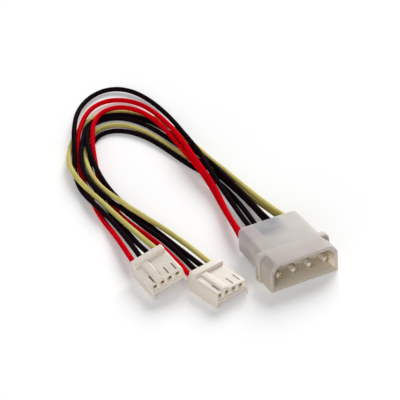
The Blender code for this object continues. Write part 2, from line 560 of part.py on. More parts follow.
def push_apart(curves, rounds=300, settling_rounds=30, step=1.5):
    """Let the wires press on one another and on the table until none touch.

    Their ends stay held by the plug and the sockets for the first few millimetres.
    """
    held = 5
    easing = 12
    calm_passes = 50
    settling_passes = 8
    need = WIRE_DIAMETER + WIRE_SPACING
    floor = WIRE_DIAMETER / 2 + TABLE_CLEARANCE
    pieces = [even_steps(curve, step) for curve in curves]
    owner = np.concatenate([np.full(len(piece), index) for index, piece in enumerate(pieces)])
    freedom = []
    inner = []
    start = 0
    for piece in pieces:
        along = np.arange(len(piece)) * step
        from_end = np.minimum(along, along[-1] - along)
        freedom.append(np.clip((from_end - held) / easing, 0, 1))
        inner.append(np.arange(start + 1, start + len(piece) - 1))
        start += len(piece)
    freedom = np.concatenate(freedom)[:, None]
    inner = np.concatenate(inner)
    home = np.vstack(pieces)
    broad = calm(home, inner, calm_passes)
    home = home + freedom * (broad + calm(home - broad, inner, calm_passes) - home)
    now = home.copy()
    for turn in range(rounds):
        if turn % 10 == 0:
            pairs = near_pairs(now, owner, need + 1.2)
        now += freedom * push_once(now, pairs, need)
        if turn < rounds - settling_rounds:
            now = home + calm(now - home, inner, settling_passes)
        now[:, 2] = np.maximum(now[:, 2], floor)
    return np.split(now, np.cumsum([len(piece) for piece in pieces])[:-1])


def wire_route(name, placements):
    """The whole route: out of the plug, along the route points and into the socket."""
    pin, aside, up, socket, contact = WIRE_ENDS[name]
    spread = WIRE_DIAMETER + WIRE_PAIR_GAP
    x = pin_places()[pin] + aside * spread
    z = PIN_HEIGHT + up * spread
    leave = PLUG_REAR + WIRE_END_GAP
    out = [(x, y, z) for y in (CRIMP_END + WIRE_END_GAP, leave, leave + STRAIGHT_EXIT)]
    across = contact_places()[contact]
    arrive = SOCKET_LENGTH + WIRE_END_GAP
    into = [tuple(placements[socket] @ Vector((across, y, CONTACT_HEIGHT)))
            for y in (arrive + STRAIGHT_EXIT, arrive, CONTACT_END + WIRE_END_GAP)]
    return out + ROUTES[name] + into


def make_wire(name, points, material):
    curve = bpy.data.curves.new(name, "CURVE")
    curve.dimensions = "3D"
    curve.bevel_depth = WIRE_DIAMETER / 2 * MM
    curve.bevel_resolution = 2
    curve.use_fill_caps = True
    line = curve.splines.new("POLY")
    line.points.add(len(points) - 1)
    for target, point in zip(line.points, points):
        target.co = (point[0] * MM, point[1] * MM, point[2] * MM, 1.0)
    curve.materials.append(material)
    item = bpy.data.objects.new(name, curve)
    bpy.context.scene.collection.objects.link(item)


def make_wires(placements, materials):
    curves = [smooth_curve(wire_route(name, placements)) for name in ROUTES]
    for name, line in zip(ROUTES, push_apart(curves)):
        color = name.split("_")[1]
        make_wire(name, even_steps(line, WIRE_POINT_STEP), materials[color])


def main():
    clear_scene()
    nylon = make_material("clear_nylon", (0.62, 0.60, 0.57), 0.45)
    ivory = make_material("ivory_plastic", (0.80, 0.74, 0.66), 0.5)
    pin_metal = make_material("tinned_pin", (0.74, 0.70, 0.60), 0.3, 1.0)
    contact_metal = make_material("contact_brass", (0.55, 0.45, 0.22), 0.35, 1.0)
    insulation = {
        "red": make_material("red_insulation", (0.62, 0.01, 0.02), 0.4),
        "black": make_material("black_insulation", (0.015, 0.012, 0.015), 0.4),
        "yellow": make_material("yellow_insulation", (0.62, 0.53, 0.14), 0.45)}
    make_plug_housing(nylon)
    for index, x in enumerate(pin_places()):
        make_pin(f"power_pin_{index + 1}", x, pin_metal)
    placements = socket_placements()
    for side, placement in placements.items():
        make_socket(f"drive_socket_{side}", placement, ivory)
        for index, x in enumerate(contact_places()):
            make_contact(f"contact_{side}_{index + 1}", x, placement, contact_metal)
    make_wires(placements, insulation)


main()
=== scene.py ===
"""Power Y cable on a white table: a shrouded power plug, a hairpin of thin wires, two small sockets.

Sizes are in millimetres, and MM turns them into metres.
"""

import math

import bmesh
import bpy
import numpy as np
from mathutils import Matrix, Vector


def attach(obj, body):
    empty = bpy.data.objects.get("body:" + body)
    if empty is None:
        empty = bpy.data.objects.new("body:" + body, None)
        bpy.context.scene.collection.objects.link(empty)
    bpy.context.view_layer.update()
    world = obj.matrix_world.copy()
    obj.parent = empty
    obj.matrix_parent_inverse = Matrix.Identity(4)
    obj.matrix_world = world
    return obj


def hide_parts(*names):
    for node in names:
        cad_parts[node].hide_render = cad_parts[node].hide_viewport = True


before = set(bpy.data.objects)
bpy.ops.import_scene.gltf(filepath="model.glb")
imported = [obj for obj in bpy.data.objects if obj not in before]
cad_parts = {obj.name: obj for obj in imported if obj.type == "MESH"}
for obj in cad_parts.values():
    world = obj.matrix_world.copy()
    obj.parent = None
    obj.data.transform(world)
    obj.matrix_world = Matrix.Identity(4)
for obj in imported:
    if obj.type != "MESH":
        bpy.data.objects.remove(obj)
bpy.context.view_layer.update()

MM = 0.001

# Wires
WIRE_DIAMETER = 1.6
WIRE_PAIR_GAP = 0.1
WIRE_END_GAP = 0.3
WIRE_POINT_STEP = 0.7
WIRE_ROUNDNESS = 6
CURVE_STEP = 0.5
STRAIGHT_EXIT = 2.6

# The drawn wires' share of their x and y, which keeps their smooth turns inside the solid model's box
WIRE_DRAW_IN = (0.9995, 0.999)

# How the wires press on one another until none touch
WIRE_SPACING = 0.3
TABLE_CLEARANCE = 0.05
PUSH_STEP = 1.5
PUSH_ROUNDS = 300
SETTLING_ROUNDS = 30
HELD_LENGTH = 5
EASING_LENGTH = 12
CALM_PASSES = 50
SETTLING_PASSES = 8
PAIRS_EVERY = 10
PAIR_MARGIN = 1.2

# Power pins: the nose lists the distance from the tip and the share of the radius, from the hole outwards
PIN_PITCH = 5.08
PIN_COUNT = 4
PIN_RADIUS = 1.05
PIN_HEIGHT = 4.3
PIN_TIP = -3.65
PIN_NOSE = (
    (1.4, 0.26), (0.1, 0.3), (0.0, 0.36), (0.0, 0.46), (0.1, 0.6), (0.35, 0.76), (0.7, 0.89),
    (1.15, 0.97), (1.6, 1.0))
PIN_SLIT = 0.34
PIN_SLIT_DEPTH = 0.3
SEAM_DEPTH = 0.05
BARREL_RADIUS = 1.65
BARREL_FRONT = 5.85
BARREL_REAR = 10.25
STOP_GROOVE_FRONT = 7.4
STOP_GROOVE_REAR = 8.2
STOP_GROOVE_DEPTH = 0.12
CRIMP_END = 13.65
CRIMP_RADIUS = 1.35
CRIMP_WALL = 0.2
PIN_CREASE = 32
PIN_SIDES = 36

# Plug housing
PLUG_HALF_WIDTH = 11.0
PLUG_HEIGHT = 9.2
PLUG_REAR = 18.15
PLUG_WALL = 1.2
PLUG_BREAK = 0.07
SHROUD_FRONT = -4.25
SHROUD_REAR = 4.25
SHROUD_SHOULDER = 7.0
SHROUD_CUT = 2.1
SHROUD_ROUNDING = 1.4
SHROUD_EDGE = 0.3
FLANGE_FRONT = 1.75
FLANGE_HALF_WIDTH = 11.65
FLANGE_FOOT = 0.15
FLANGE_ROUNDING = 1.5
BODY_EDGE = 0.35
BLOCK_FRONT_HALF = 10.1
BLOCK_REAR_HALF = 9.9
BLOCK_FOOT = 1.4
BLOCK_TOP = 9.05
BLOCK_ROUNDING = 1.7
BLOCK_LAP = 0.6
HOLLOW_REAR = 3.05
HOLLOW_CUT_X = 1.5
HOLLOW_CUT_Z = 1.9
HOLLOW_FLARE = 0.16
HOLLOW_ROUNDING = 0.25
COLLAR_RADIUS = 1.95
COLLAR_RISE = 0.35
COLLAR_MOUTH = 1.45
PIN_HOLE_RADIUS = 1.3
REAR_HOLE_RADIUS = 2.0
REAR_HOLE_FRONT = 5.45
REAR_HOLE_FLARE = 0.2

# Small drive sockets
SOCKET_LENGTH = 13.2
SOCKET_TOP = 5.0
SOCKET_HALF_WIDTH = 5.45
SOCKET_FOOT_HALF = 5.9
SOCKET_UNDERSIDE = 1.4
SOCKET_EDGE = 0.12
SOCKET_BREAK = 0.05
RAIL_INNER = 4.9
REAR_BAR_FRONT = 10.3
REAR_BAR_HALF = 5.27
REAR_BAR_TOP = 6.1
REAR_BAR_ROUNDING = 0.45
KEY_LEFT = -3.1
KEY_RIGHT = -0.8
KEY_TOP = 5.6
KEY_ROUNDING = 0.35
FACE_HALF = 4.95
FACE_FOOT = 2.25
FACE_TOP = 4.35
FACE_SETBACK = 0.25
CHAMBER_WIDTH = 2.0
CHAMBER_HEIGHT = 2.4
CHAMBER_ROUNDING = 0.15
FRONT_WALL = 1.4
# Half width of the region that gets painted shade in the ways, slots and chambers
PAINTED_SHADE_HALF = 4.75
SLOT_FRONT = 1.0
SLOT_REAR = 4.5
TOP_SLOTS = ((-3.85, -3.35), (-0.97, -0.68), (1.2, 1.6), (3.72, 4.1))

# Pin ways in a socket's front: distance behind the front plane and half the width of the opening
PIN_WAY = ((-0.5, 1.2), (0.25, 0.88), (0.65, 0.5), (0.8, 0.46), (1.7, 0.46))
PIN_WAY_RISE = 0.1
PIN_WAY_ROUNDING = 0.18

# Socket contacts: the tail lists the distance behind the box and half the width, and a leaf the
# distance from the contact's front and how far it bows inwards
CONTACT_PITCH = 2.5
CONTACT_COUNT = 4
CONTACT_HEIGHT = 3.5
CONTACT_FRONT = 1.7
CONTACT_BOX_LENGTH = 5.6
CONTACT_END = 9.9
CONTACT_HALF_WIDE = 0.75
CONTACT_HALF_TALL = 0.9
CONTACT_METAL = 0.22
CONTACT_TAIL = ((0.25, 0.45), (1.0, 0.45), (1.1, 0.38), (1.6, 0.38), (1.7, 0.45), (2.6, 0.45))
CONTACT_TAIL_ROUNDING = 0.2
CONTACT_CREASE = 40
LEAF_BOW = ((0.3, 0.05), (1.0, 0.22), (2.0, 0.28), (3.2, 0.12), (4.4, 0.02))
LEAF_HALF_METAL = 0.05
LEAF_HALF_TALL = 0.35

# Rounding of an all but sharp corner, steps of a rounded edge, sides of a turned shape, crease angle
SHARP = 0.02
EDGE_STEPS = 3
BORE_SIDES = 40
CREASE = 50

# How the sockets lie: middle of the front bottom edge, turn about Z and lean on one rail
LEFT_SOCKET = {"x": -35.5, "y": 10.95, "turn": 0.9, "lean": 14.4}
RIGHT_SOCKET = {"x": -22.2, "y": -1.5, "turn": 11.3, "lean": 0.0}

# Camera and light
CAMERA_PLACE = (-214.4, -420.3, 337.2)
CAMERA_TURN = 23.80
CAMERA_DROP = 33.24
CAMERA_ROLL = 4.80
CAMERA_LENS = 180
CAMERA_SENSOR = 36
KEY_LIGHT_TRAVEL = (-1.1, -1.15, -1.05)
KEY_LIGHT_POWER = 2.8
KEY_LIGHT_SPREAD = 36
FILL_LIGHT_TRAVEL = (0.85, 0.9, -0.2)
FILL_LIGHT_POWER = 1.8
FILL_LIGHT_SPREAD = 60
SKY_LEVEL = 0.26
TABLE_HALF_SIZE = 2000
TABLE_LIFT = 0.19

# Grain of a surface: size of the grain and of its waves, share of the waves, depth and strength
PLASTIC_GRAIN = (1800.0, 300.0, 0.45, 0.02, 0.6)
METAL_GRAIN = (4000.0, 700.0, 0.3, 0.01, 0.4)
FLECK_FINENESS = 5.0
WIRE_IOR = 1.06

# Where the nylon's tints fade in along x, y or z: none at the first value, full at the second
NYLON_FRONT_Y = (5.0, 0.0)
NYLON_REAR_Y = (8.0, 12.5)
NYLON_LOW_Y = (9.0, 3.0)
NYLON_LOW_Z = (6.8, 1.0)
OVER_BLACK_LEFT = (-6.0, -4.5)
OVER_BLACK_RIGHT = (4.0, 1.0)
OVER_RED = (-4.5, -6.5)
# The shroud's hollow, which gets painted light, and painted shade towards its ceiling
HOLLOW_SIDES = (9.95, 9.85)
HOLLOW_FLOOR = (1.15, 1.25)
HOLLOW_CEILING = (8.15, 8.05)
HOLLOW_MOUTH = (-4.2, -3.9)
HOLLOW_BACK = (3.5, 3.4)
HOLLOW_SHADE = (2.0, 7.5)

# Colours as the eye reads them, 0 to 255; threes are the main tint, the second tint and the flecks
NYLON = ((198, 193, 187), (192, 186, 179), (182, 174, 169))
NYLON_FRONT = (186, 176, 171)
NYLON_LOW = (198, 188, 173)
NYLON_OVER_BLACK = (148, 147, 152)
NYLON_OVER_RED = (186, 173, 178)
# Painted light on the hollow's floor, then painted shade towards its ceiling
NYLON_HOLLOW_PAINTED_LIGHT = (228, 218, 200)
NYLON_HOLLOW_PAINTED_SHADE = (150, 137, 112)
IVORY = ((238, 228, 217), (233, 222, 209), (224, 206, 189))
# Painted shade in the sockets' ways, slots and chambers
IVORY_HOLLOW_PAINTED_SHADE = (205, 182, 108)
RED = ((222, 0, 20), (208, 0, 20), (175, 0, 18))
BLACK = ((20, 10, 15), (27, 15, 21), (12, 6, 9))
YELLOW = ((218, 206, 124), (210, 196, 114), (188, 168, 90))
TIN = ((252, 248, 238), (246, 238, 222), (205, 186, 150))
# A pin's tip: its bare brass, together with painted shade
TIN_TIP_BRASS_AND_SHADE = (140, 112, 66)
BRASS = ((190, 168, 96), (170, 148, 80), (120, 100, 56))

# Route points of each wire from the plug to its socket: x, y and height of the centre line
ROUTES = {
    "wire_red_left": [
        (-6, 31.5, 4.1), (-4.4, 38.5, 3.5), (-2.8, 44.5, 3.2), (-1.7, 50, 3.2), (-1.1, 54.5, 3.6),
        (-1.1, 58.5, 4.2), (-1, 63, 4.7), (-0.5, 68.5, 4.7), (0.5, 74, 4.7), (1, 80, 4.4), (1.5, 85.5, 4.1),
        (2, 91, 3.7), (2, 97, 3.0), (2, 103.5, 2.0), (2, 110.5, 0.9), (0, 114.5, 0.9), (-2, 118, 0.9),
        (-5.5, 120, 0.9), (-9.5, 119.5, 1.1), (-14, 115.5, 2.0), (-18, 111, 2.8), (-21.5, 106.5, 2.8),
        (-24, 102, 2.8), (-25.5, 100, 2.2), (-26.5, 98, 1.4), (-27.5, 95.5, 0.9), (-29, 92, 0.9),
        (-30.5, 88, 0.9), (-32, 84, 0.9), (-33.5, 79.5, 0.9), (-34, 73, 0.9), (-35.5, 67.5, 0.9),
        (-36.5, 61.5, 0.9), (-37.5, 55.5, 0.9), (-37.5, 48, 1.5), (-38.5, 40.5, 2.6)],
    "wire_red_right": [
        (-4.5, 34, 2.0), (-3.5, 41, 1.2), (-2, 46.5, 0.9), (-1, 52, 0.9), (-0.5, 57, 1.6), (-0.5, 62, 2.8),
        (0, 68, 2.8), (0, 74, 2.8), (0.5, 80.5, 2.8), (0.5, 87, 2.8), (0.5, 93.5, 2.8), (-0.5, 99.5, 2.8),
        (-2, 105, 2.8), (-4, 109, 2.8), (-6.5, 111.5, 2.8), (-10, 112, 2.8), (-13.5, 110.5, 2.9),
        (-17, 107, 3.1), (-19.5, 103, 3.3), (-21.5, 99, 3.0), (-23.5, 95.5, 2.8), (-24.5, 92, 2.4),
        (-25.5, 88.5, 1.5), (-26.5, 84.5, 0.9), (-28, 81.5, 0.9), (-29.5, 76.5, 0.9), (-30, 70.5, 0.9),
        (-31.5, 64.5, 0.9), (-31.5, 58, 0.9), (-31, 51.5, 0.9), (-30, 44.5, 0.9), (-29, 38, 1.4),
        (-28.5, 31, 1.8), (-28.3, 24.5, 2.1), (-28.5, 19, 2.8)],
    "wire_black_left_outer": [
        (-2, 32, 3.0), (-0.5, 39, 1.8), (0, 44.5, 1.8), (0, 49, 2.8), (0, 54, 4.0), (1, 59.5, 4.7),
        (1.5, 65.5, 4.7), (3, 72.5, 4.0), (3.5, 80.5, 3.2), (4.5, 89, 2.6), (5.5, 98.5, 1.4),
        (5.5, 107, 0.9), (4.5, 114, 0.9), (3, 120, 0.9), (0.5, 124.5, 0.9), (-2.5, 127, 0.9),
        (-7, 126.5, 0.9), (-11.5, 124, 0.9), (-16, 119.5, 1.6), (-20.5, 113, 2.8), (-23.5, 107.5, 2.9),
        (-25.5, 103, 2.9), (-28, 97, 2.8), (-29.5, 93, 2.6), (-32, 88.5, 1.2), (-33.5, 85, 0.9),
        (-35, 80.5, 0.9), (-36, 73.5, 1.1), (-37, 65, 2.6), (-36.5, 58, 2.8), (-35.5, 52.5, 2.0),
        (-36, 45.5, 2.2), (-36.5, 38.5, 3.2)],
    "wire_black_left_inner": [
        (0.5, 32, 3.0), (2, 40, 1.6), (2.5, 47, 0.9), (3, 53, 0.9), (2.5, 59, 0.9), (1, 63.5, 0.9),
        (-0.5, 68, 0.9), (-1.2, 72.5, 0.9), (-1.9, 78.5, 0.9), (-3.1, 85, 0.9), (-4.6, 90.5, 0.9),
        (-6.8, 96, 0.9), (-9.8, 100, 0.9), (-13, 102.8, 0.9), (-16, 103.3, 0.9), (-19, 101.8, 0.9),
        (-22, 98.5, 0.9), (-24.5, 94.5, 0.9), (-26.5, 90, 0.9), (-28, 86.5, 0.9), (-29.5, 82.5, 0.9),
        (-31.5, 78, 0.9), (-32, 71.5, 0.9), (-33, 65.5, 0.9), (-33, 59, 0.9), (-33.5, 53, 0.9),
        (-33.5, 46, 1.2), (-34.5, 38.5, 2.4)],
    "wire_black_right_outer": [
        (2.5, 31.5, 4.0), (3.5, 38.5, 3.0), (3.2, 45, 2.8), (2.7, 51.5, 2.8), (2.6, 57.5, 2.8),
        (2.2, 64, 2.8), (2, 69.5, 2.6), (2, 76.5, 1.4), (1.5, 82.5, 0.9), (1, 88.5, 0.9), (0, 95.5, 0.9),
        (-2, 101.5, 0.9), (-4.5, 106, 0.9), (-7.5, 109, 0.9), (-11, 111, 0.9), (-14.5, 111.5, 0.9),
        (-17.5, 110, 0.9), (-20.5, 107, 0.9), (-22.5, 103, 1.2), (-24.5, 98.5, 2.0), (-27, 94.5, 2.6),
        (-28.5, 91, 2.8), (-30, 87.5, 2.8), (-32, 82, 2.8), (-33, 75.5, 2.9), (-33.5, 68.5, 3.2),
        (-32.5, 62, 2.8), (-31.5, 58.5, 2.4), (-29.5, 56.5, 1.2), (-29.5, 50.5, 0.9), (-28, 43, 0.9),
        (-27, 37, 1.2), (-26.5, 29.5, 2.2)],
    "wire_black_right_inner": [
        (4, 34, 2.0), (4.5, 40.5, 1.1), (4.5, 47, 0.9), (4.1, 53, 1.0), (3.2, 57, 1.8), (2, 61.5, 2.8),
        (0.5, 66.5, 2.8), (0.5, 72.5, 2.0), (0.5, 79, 0.9), (-0.5, 85, 0.9), (-1.5, 91.5, 0.9),
        (-3, 97, 1.2), (-5.5, 102.5, 1.5), (-8.5, 107, 1.5), (-11.5, 109, 1.3), (-13.5, 110, 0.9),
        (-16.5, 108.5, 1.0), (-19, 106, 1.7), (-22, 102, 2.7), (-24, 97, 3.4), (-25.5, 93.5, 3.4),
        (-26.5, 90, 3.2), (-27, 86.5, 3.0), (-28, 81.5, 2.9), (-29.5, 73, 2.8), (-29.5, 67.5, 2.3),
        (-29, 63, 0.9), (-27.5, 55.5, 0.9), (-27.5, 49, 0.9), (-26, 42, 0.9), (-25.5, 34.5, 1.2),
        (-25, 27, 2.2)],
    "wire_yellow_right": [
        (7.3, 33, 2.0), (7.1, 39.5, 1.1), (6.8, 45.5, 0.9), (6.3, 51, 0.9), (5.7, 57, 0.9), (4.8, 62, 0.9),
        (3.2, 66.5, 0.9), (1.5, 70.5, 0.9), (0, 75, 0.9), (-1, 81, 0.9), (-2.5, 87.5, 0.9),
        (-4.5, 93.5, 0.9), (-6.5, 99, 0.9), (-9.5, 103.5, 0.9), (-13, 105.5, 0.9), (-16.5, 105, 0.9),
        (-20.5, 102, 0.9), (-23.5, 98.5, 0.9), (-26, 94.5, 0.9), (-28.5, 88.5, 1.8), (-31, 80.5, 2.6),
        (-32.2, 74.5, 2.6), (-32.4, 68, 2.5), (-31.4, 60.5, 2.8), (-30.9, 56.5, 2.9), (-29.8, 53, 2.9),
        (-27.8, 46, 2.4), (-25, 40, 1.6), (-23.5, 33, 1.4), (-22.5, 25.5, 2.3)],
    "wire_yellow_left": [
        (6.5, 30.5, 4.2), (6.5, 37.5, 3.2), (6.2, 44, 2.7), (5.7, 50.5, 2.6), (5.5, 56.5, 2.3),
        (5.2, 63.5, 1.5), (5.4, 70.5, 0.9), (5.3, 75.5, 0.9), (5, 81, 0.9), (4.5, 86.5, 0.9), (4, 93, 0.9),
        (2.5, 98.5, 0.9), (0.5, 103, 0.9), (-2, 107, 0.9), (-5, 110.5, 0.9), (-8.5, 112.5, 0.9),
        (-12, 113, 0.9), (-15.5, 112.5, 0.9), (-19.5, 109.5, 0.9), (-23, 106.5, 0.9), (-26.5, 102.5, 0.9),
        (-29.5, 97, 1.0), (-32, 92.5, 1.6), (-34, 87, 2.6), (-35, 82, 2.8), (-35.5, 77.5, 2.7),
        (-35, 70.5, 2.7), (-34.5, 63.5, 2.8), (-34, 56.5, 2.8), (-33.5, 49.5, 2.8), (-33, 42, 3.2),
        (-33, 35, 4.3)],
}

# Each wire's plug pin, its place in that pin's rear hole sideways and upwards in wire spacings,
# then its socket and contact
WIRE_ENDS = {
    "wire_red_left": (0, 0.0, 0.5, "left", 0),
    "wire_red_right": (0, 0.0, -0.5, "right", 0),
    "wire_black_left_outer": (1, -0.5, 0.0, "left", 1),
    "wire_black_left_inner": (1, 0.5, 0.0, "left", 2),
    "wire_black_right_outer": (2, 0.0, 0.5, "right", 1),
    "wire_black_right_inner": (2, 0.0, -0.5, "right", 2),
    "wire_yellow_right": (3, 0.0, -0.5, "right", 3),
    "wire_yellow_left": (3, 0.0, 0.5, "left", 3),
}


def solid_object(name, corners, faces, placement=None):
    """A mesh object from corners in millimetres, with its faces pointing out."""
    points = [Vector(corner) for corner in corners]
    if placement is not None:
        points = [placement @ point for point in points]
    mesh = bpy.data.meshes.new(name)
    mesh.from_pydata([point * MM for point in points], [], faces)
    work = bmesh.new()
    work.from_mesh(mesh)
    bmesh.ops.recalc_face_normals(work, faces=work.faces)
    work.to_mesh(mesh)
    work.free()
    item = bpy.data.objects.new(name, mesh)
    bpy.context.scene.collection.objects.link(item)
    return item


def inset(corners, distance):
    """Move every edge of a closed section inwards by a distance; corners are (x, z, rounding)."""
    moved = []
    count = len(corners)
    turning = sum(corners[i][0] * corners[(i + 1) % count][1] - corners[(i + 1) % count][0] * corners[i][1]
                  for i in range(count))
    side = 1 if turning > 0 else -1
    for i in range(count):
        before = Vector(corners[i - 1][:2])
        here = Vector(corners[i][:2])
        after = Vector(corners[(i + 1) % count][:2])
        first = (here - before).normalized()
        second = (after - here).normalized()
        first_out = Vector((-first.y, first.x)) * side
        second_out = Vector((-second.y, second.x)) * side
        middle = (first_out + second_out) / (1 + first_out.dot(second_out))
        spot = here + middle * distance
        moved.append((spot.x, spot.y, max(SHARP, corners[i][2] - distance)))
    return moved


def rounded(corners, steps=4):
    """The outline of a section with an arc of its own rounding at each corner."""
    outline = []
    count = len(corners)
    for i in range(count):
        here = Vector(corners[i][:2])
        back = Vector(corners[i - 1][:2]) - here
        ahead = Vector(corners[(i + 1) % count][:2]) - here
        half_angle = back.angle(ahead) / 2
        reach = corners[i][2] / math.tan(half_angle)
        reach = min(reach, back.length * 0.49, ahead.length * 0.49)
        radius = reach * math.tan(half_angle)
        bisector = (back.normalized() + ahead.normalized()).normalized()
        centre = here + bisector * (radius / math.sin(half_angle))
        start = here + back.normalized() * reach - centre
        stop = here + ahead.normalized() * reach - centre
        sweep = start.angle_signed(stop)
        for step in range(steps + 1):
            turned = start.copy()
            turned.rotate(Matrix.Rotation(-sweep * step / steps, 2))
            outline.append((centre.x + turned.x, centre.y + turned.y))
    return outline


def mirrored(right_side):
    """A whole section from its right side, listed from the foot up to the top."""
    return right_side + [(-x, z, rounding) for x, z, rounding in reversed(right_side)]


def stack(levels):
    """Closed skin through outlines of equal length: levels are (y, outline) from front to rear."""
    count = len(levels[0][1])
    corners = [(x, y, z) for y, outline in levels for x, z in outline]
    faces = [tuple(range(count)), tuple(range(len(corners) - count, len(corners)))]
    for level in range(len(levels) - 1):
        low = level * count
        for here in range(count):
            after = (here + 1) % count
            faces.append((low + here, low + after, low + count + after, low + count + here))
    return corners, faces


def soft_block(corners, front, rear, edge, rear_corners=None):
    """Levels of a block along y whose front and rear edges are rounded over by edge."""
    front_levels = []
    rear_levels = []
    for step in range(EDGE_STEPS + 1):
        angle = math.pi / 2 * step / EDGE_STEPS
        depth = edge * (1 - math.sin(angle))
        along = edge * (1 - math.cos(angle))
        front_levels.append((front + along, rounded(inset(corners, depth))))
        rear_levels.append((rear - along, rounded(inset(rear_corners or corners, depth))))
    return front_levels + rear_levels[::-1]


def flared_cut(corners, mouth, end, flare, end_rounding):
    """Levels of a cutter along y with a flared mouth and a rounded far end."""
    way = 1 if end > mouth else -1
    return [
        (mouth - way * 1.0, rounded(inset(corners, -flare * 1.5))),
        (mouth - way * flare * 0.5, rounded(inset(corners, -flare * 1.5))),
        (mouth + way * flare, rounded(corners)),
        (end - way * end_rounding, rounded(corners)),
        (end - way * end_rounding * 0.3, rounded(inset(corners, end_rounding * 0.3))),
        (end, rounded(inset(corners, end_rounding)))]


def ring_outline(x, z, radius):
    """A round outline about a middle."""
    angles = [2 * math.pi * step / BORE_SIDES for step in range(BORE_SIDES)]
    return [(x + radius * math.cos(angle), z + radius * math.sin(angle)) for angle in angles]


def bore(x, z, profile):
    """A turned shape along y: profile lists (y, radius)."""
    return stack([(y, ring_outline(x, z, radius)) for y, radius in profile])


def gather(solids):
    """Several skins as one list of corners and faces."""
    corners = []
    faces = []
    for more_corners, more_faces in solids:
        start = len(corners)
        corners += more_corners
        faces += [tuple(start + index for index in face) for face in more_faces]
    return corners, faces


def combine(target, operation, solids):
    """Cut solids out of the target, or fuse them on, and keep the result as its mesh."""
    tool = solid_object("tool", *gather(solids))
    change = target.modifiers.new("change", "BOOLEAN")
    change.operation = operation
    change.solver = "EXACT"
    change.object = tool
    bpy.context.view_layer.update()
    shaped = target.evaluated_get(bpy.context.evaluated_depsgraph_get())
    mesh = bpy.data.meshes.new_from_object(shaped)
    target.modifiers.clear()
    target.data = mesh
    bpy.data.objects.remove(tool, do_unlink=True)


def shade_by_angle(item, angle):
    """Shade smooth, with creases where faces meet at more than the angle."""
    item.data.shade_smooth()
    item.data.set_sharp_from_angle(angle=math.radians(angle))


def soften(item, width):
    """Break the sharp edges and shade the rest smooth."""
    shade_by_angle(item, CREASE)
    edge = item.modifiers.new("broken_edges", "BEVEL")
    edge.width = width * MM
    edge.segments = 2
    edge.limit_method = "ANGLE"
    edge.angle_limit = math.radians(CREASE)
    edge.harden_normals = True
    edge.use_clamp_overlap = True


def pin_places():
    """Where the plug's pins stand across x."""
    return [PIN_PITCH * (index - (PIN_COUNT - 1) / 2) for index in range(PIN_COUNT)]


def contact_places():
    """Where a socket's contacts stand across its own x."""
    return [CONTACT_PITCH * (index - (CONTACT_COUNT - 1) / 2) for index in range(CONTACT_COUNT)]


def box_section(left, right, low, high, rounding):
    """A four-cornered section with one rounding."""
    return [(left, low, rounding), (right, low, rounding), (right, high, rounding), (left, high, rounding)]


def square(x, z, half_wide, half_tall, rounding):
    """The outline of a small four-sided section about a middle."""
    return rounded(box_section(x - half_wide, x + half_wide, z - half_tall, z + half_tall, rounding), 2)


def shroud_corners():
    """The shroud's section, with its upper corners cut at a slant."""
    return mirrored([(PLUG_HALF_WIDTH, 0.0, 0.35), (PLUG_HALF_WIDTH, SHROUD_SHOULDER, SHROUD_ROUNDING),
                     (PLUG_HALF_WIDTH - SHROUD_CUT, BLOCK_TOP, SHROUD_ROUNDING)])


def flange_corners():
    """The flange's section, flush with the shroud's top."""
    return mirrored([(FLANGE_HALF_WIDTH, FLANGE_FOOT, 0.3),
                     (FLANGE_HALF_WIDTH - 0.02, BLOCK_TOP - 0.04, FLANGE_ROUNDING)])


def block_corners(half):
    """The rear block's section, with sides that lean in a little."""
    return mirrored([(half, BLOCK_FOOT, 0.4), (half - 0.1, BLOCK_TOP - 0.01, BLOCK_ROUNDING)])


def hollow_corners():
    """The section of the hollow in the shroud, one wall inside it."""
    half = PLUG_HALF_WIDTH - PLUG_WALL
    top = PLUG_HEIGHT - PLUG_WALL
    return mirrored([(half, PLUG_WALL, 0.35), (half, top - HOLLOW_CUT_Z, 0.3),
                     (half - HOLLOW_CUT_X, top, 0.3)])


def bore_row(profile):
    """One turned cutter or collar about each pin's axis: profile lists (y, radius)."""
    return [bore(x, PIN_HEIGHT, profile) for x in pin_places()]


def make_plug_shell():
    """The plug's nylon moulding: shroud, flange, rear block, and the holes for pins and wires."""
    shell = solid_object("plug_shell", *stack(
        soft_block(shroud_corners(), SHROUD_FRONT, SHROUD_REAR - 0.1, SHROUD_EDGE)))
    flange = soft_block(flange_corners(), FLANGE_FRONT, SHROUD_REAR, BODY_EDGE)
    combine(shell, "UNION", [stack(flange)])
    block = soft_block(block_corners(BLOCK_FRONT_HALF), SHROUD_REAR - BLOCK_LAP, PLUG_REAR, BODY_EDGE,
                       block_corners(BLOCK_REAR_HALF))
    combine(shell, "UNION", [stack(block)])
    hollow = flared_cut(hollow_corners(), SHROUD_FRONT, HOLLOW_REAR, HOLLOW_FLARE, HOLLOW_ROUNDING)
    combine(shell, "DIFFERENCE", [stack(hollow)])
    collar_front = HOLLOW_REAR - COLLAR_RISE
    combine(shell, "UNION", bore_row([
        (HOLLOW_REAR + 0.2, COLLAR_RADIUS), (collar_front + 0.1, COLLAR_RADIUS),
        (collar_front, COLLAR_RADIUS - 0.1)]))
    combine(shell, "DIFFERENCE", bore_row([
        (HOLLOW_REAR - 1, COLLAR_MOUTH), (collar_front, COLLAR_MOUTH), (collar_front + 0.2, PIN_HOLE_RADIUS),
        (BARREL_FRONT, PIN_HOLE_RADIUS)]))
    wide = REAR_HOLE_RADIUS + REAR_HOLE_FLARE
    combine(shell, "DIFFERENCE", bore_row([
        (REAR_HOLE_FRONT, REAR_HOLE_RADIUS), (PLUG_REAR - 0.25, REAR_HOLE_RADIUS), (PLUG_REAR + 0.15, wide),
        (PLUG_REAR + 1, wide)]))
    soften(shell, PLUG_BREAK)
    return shell


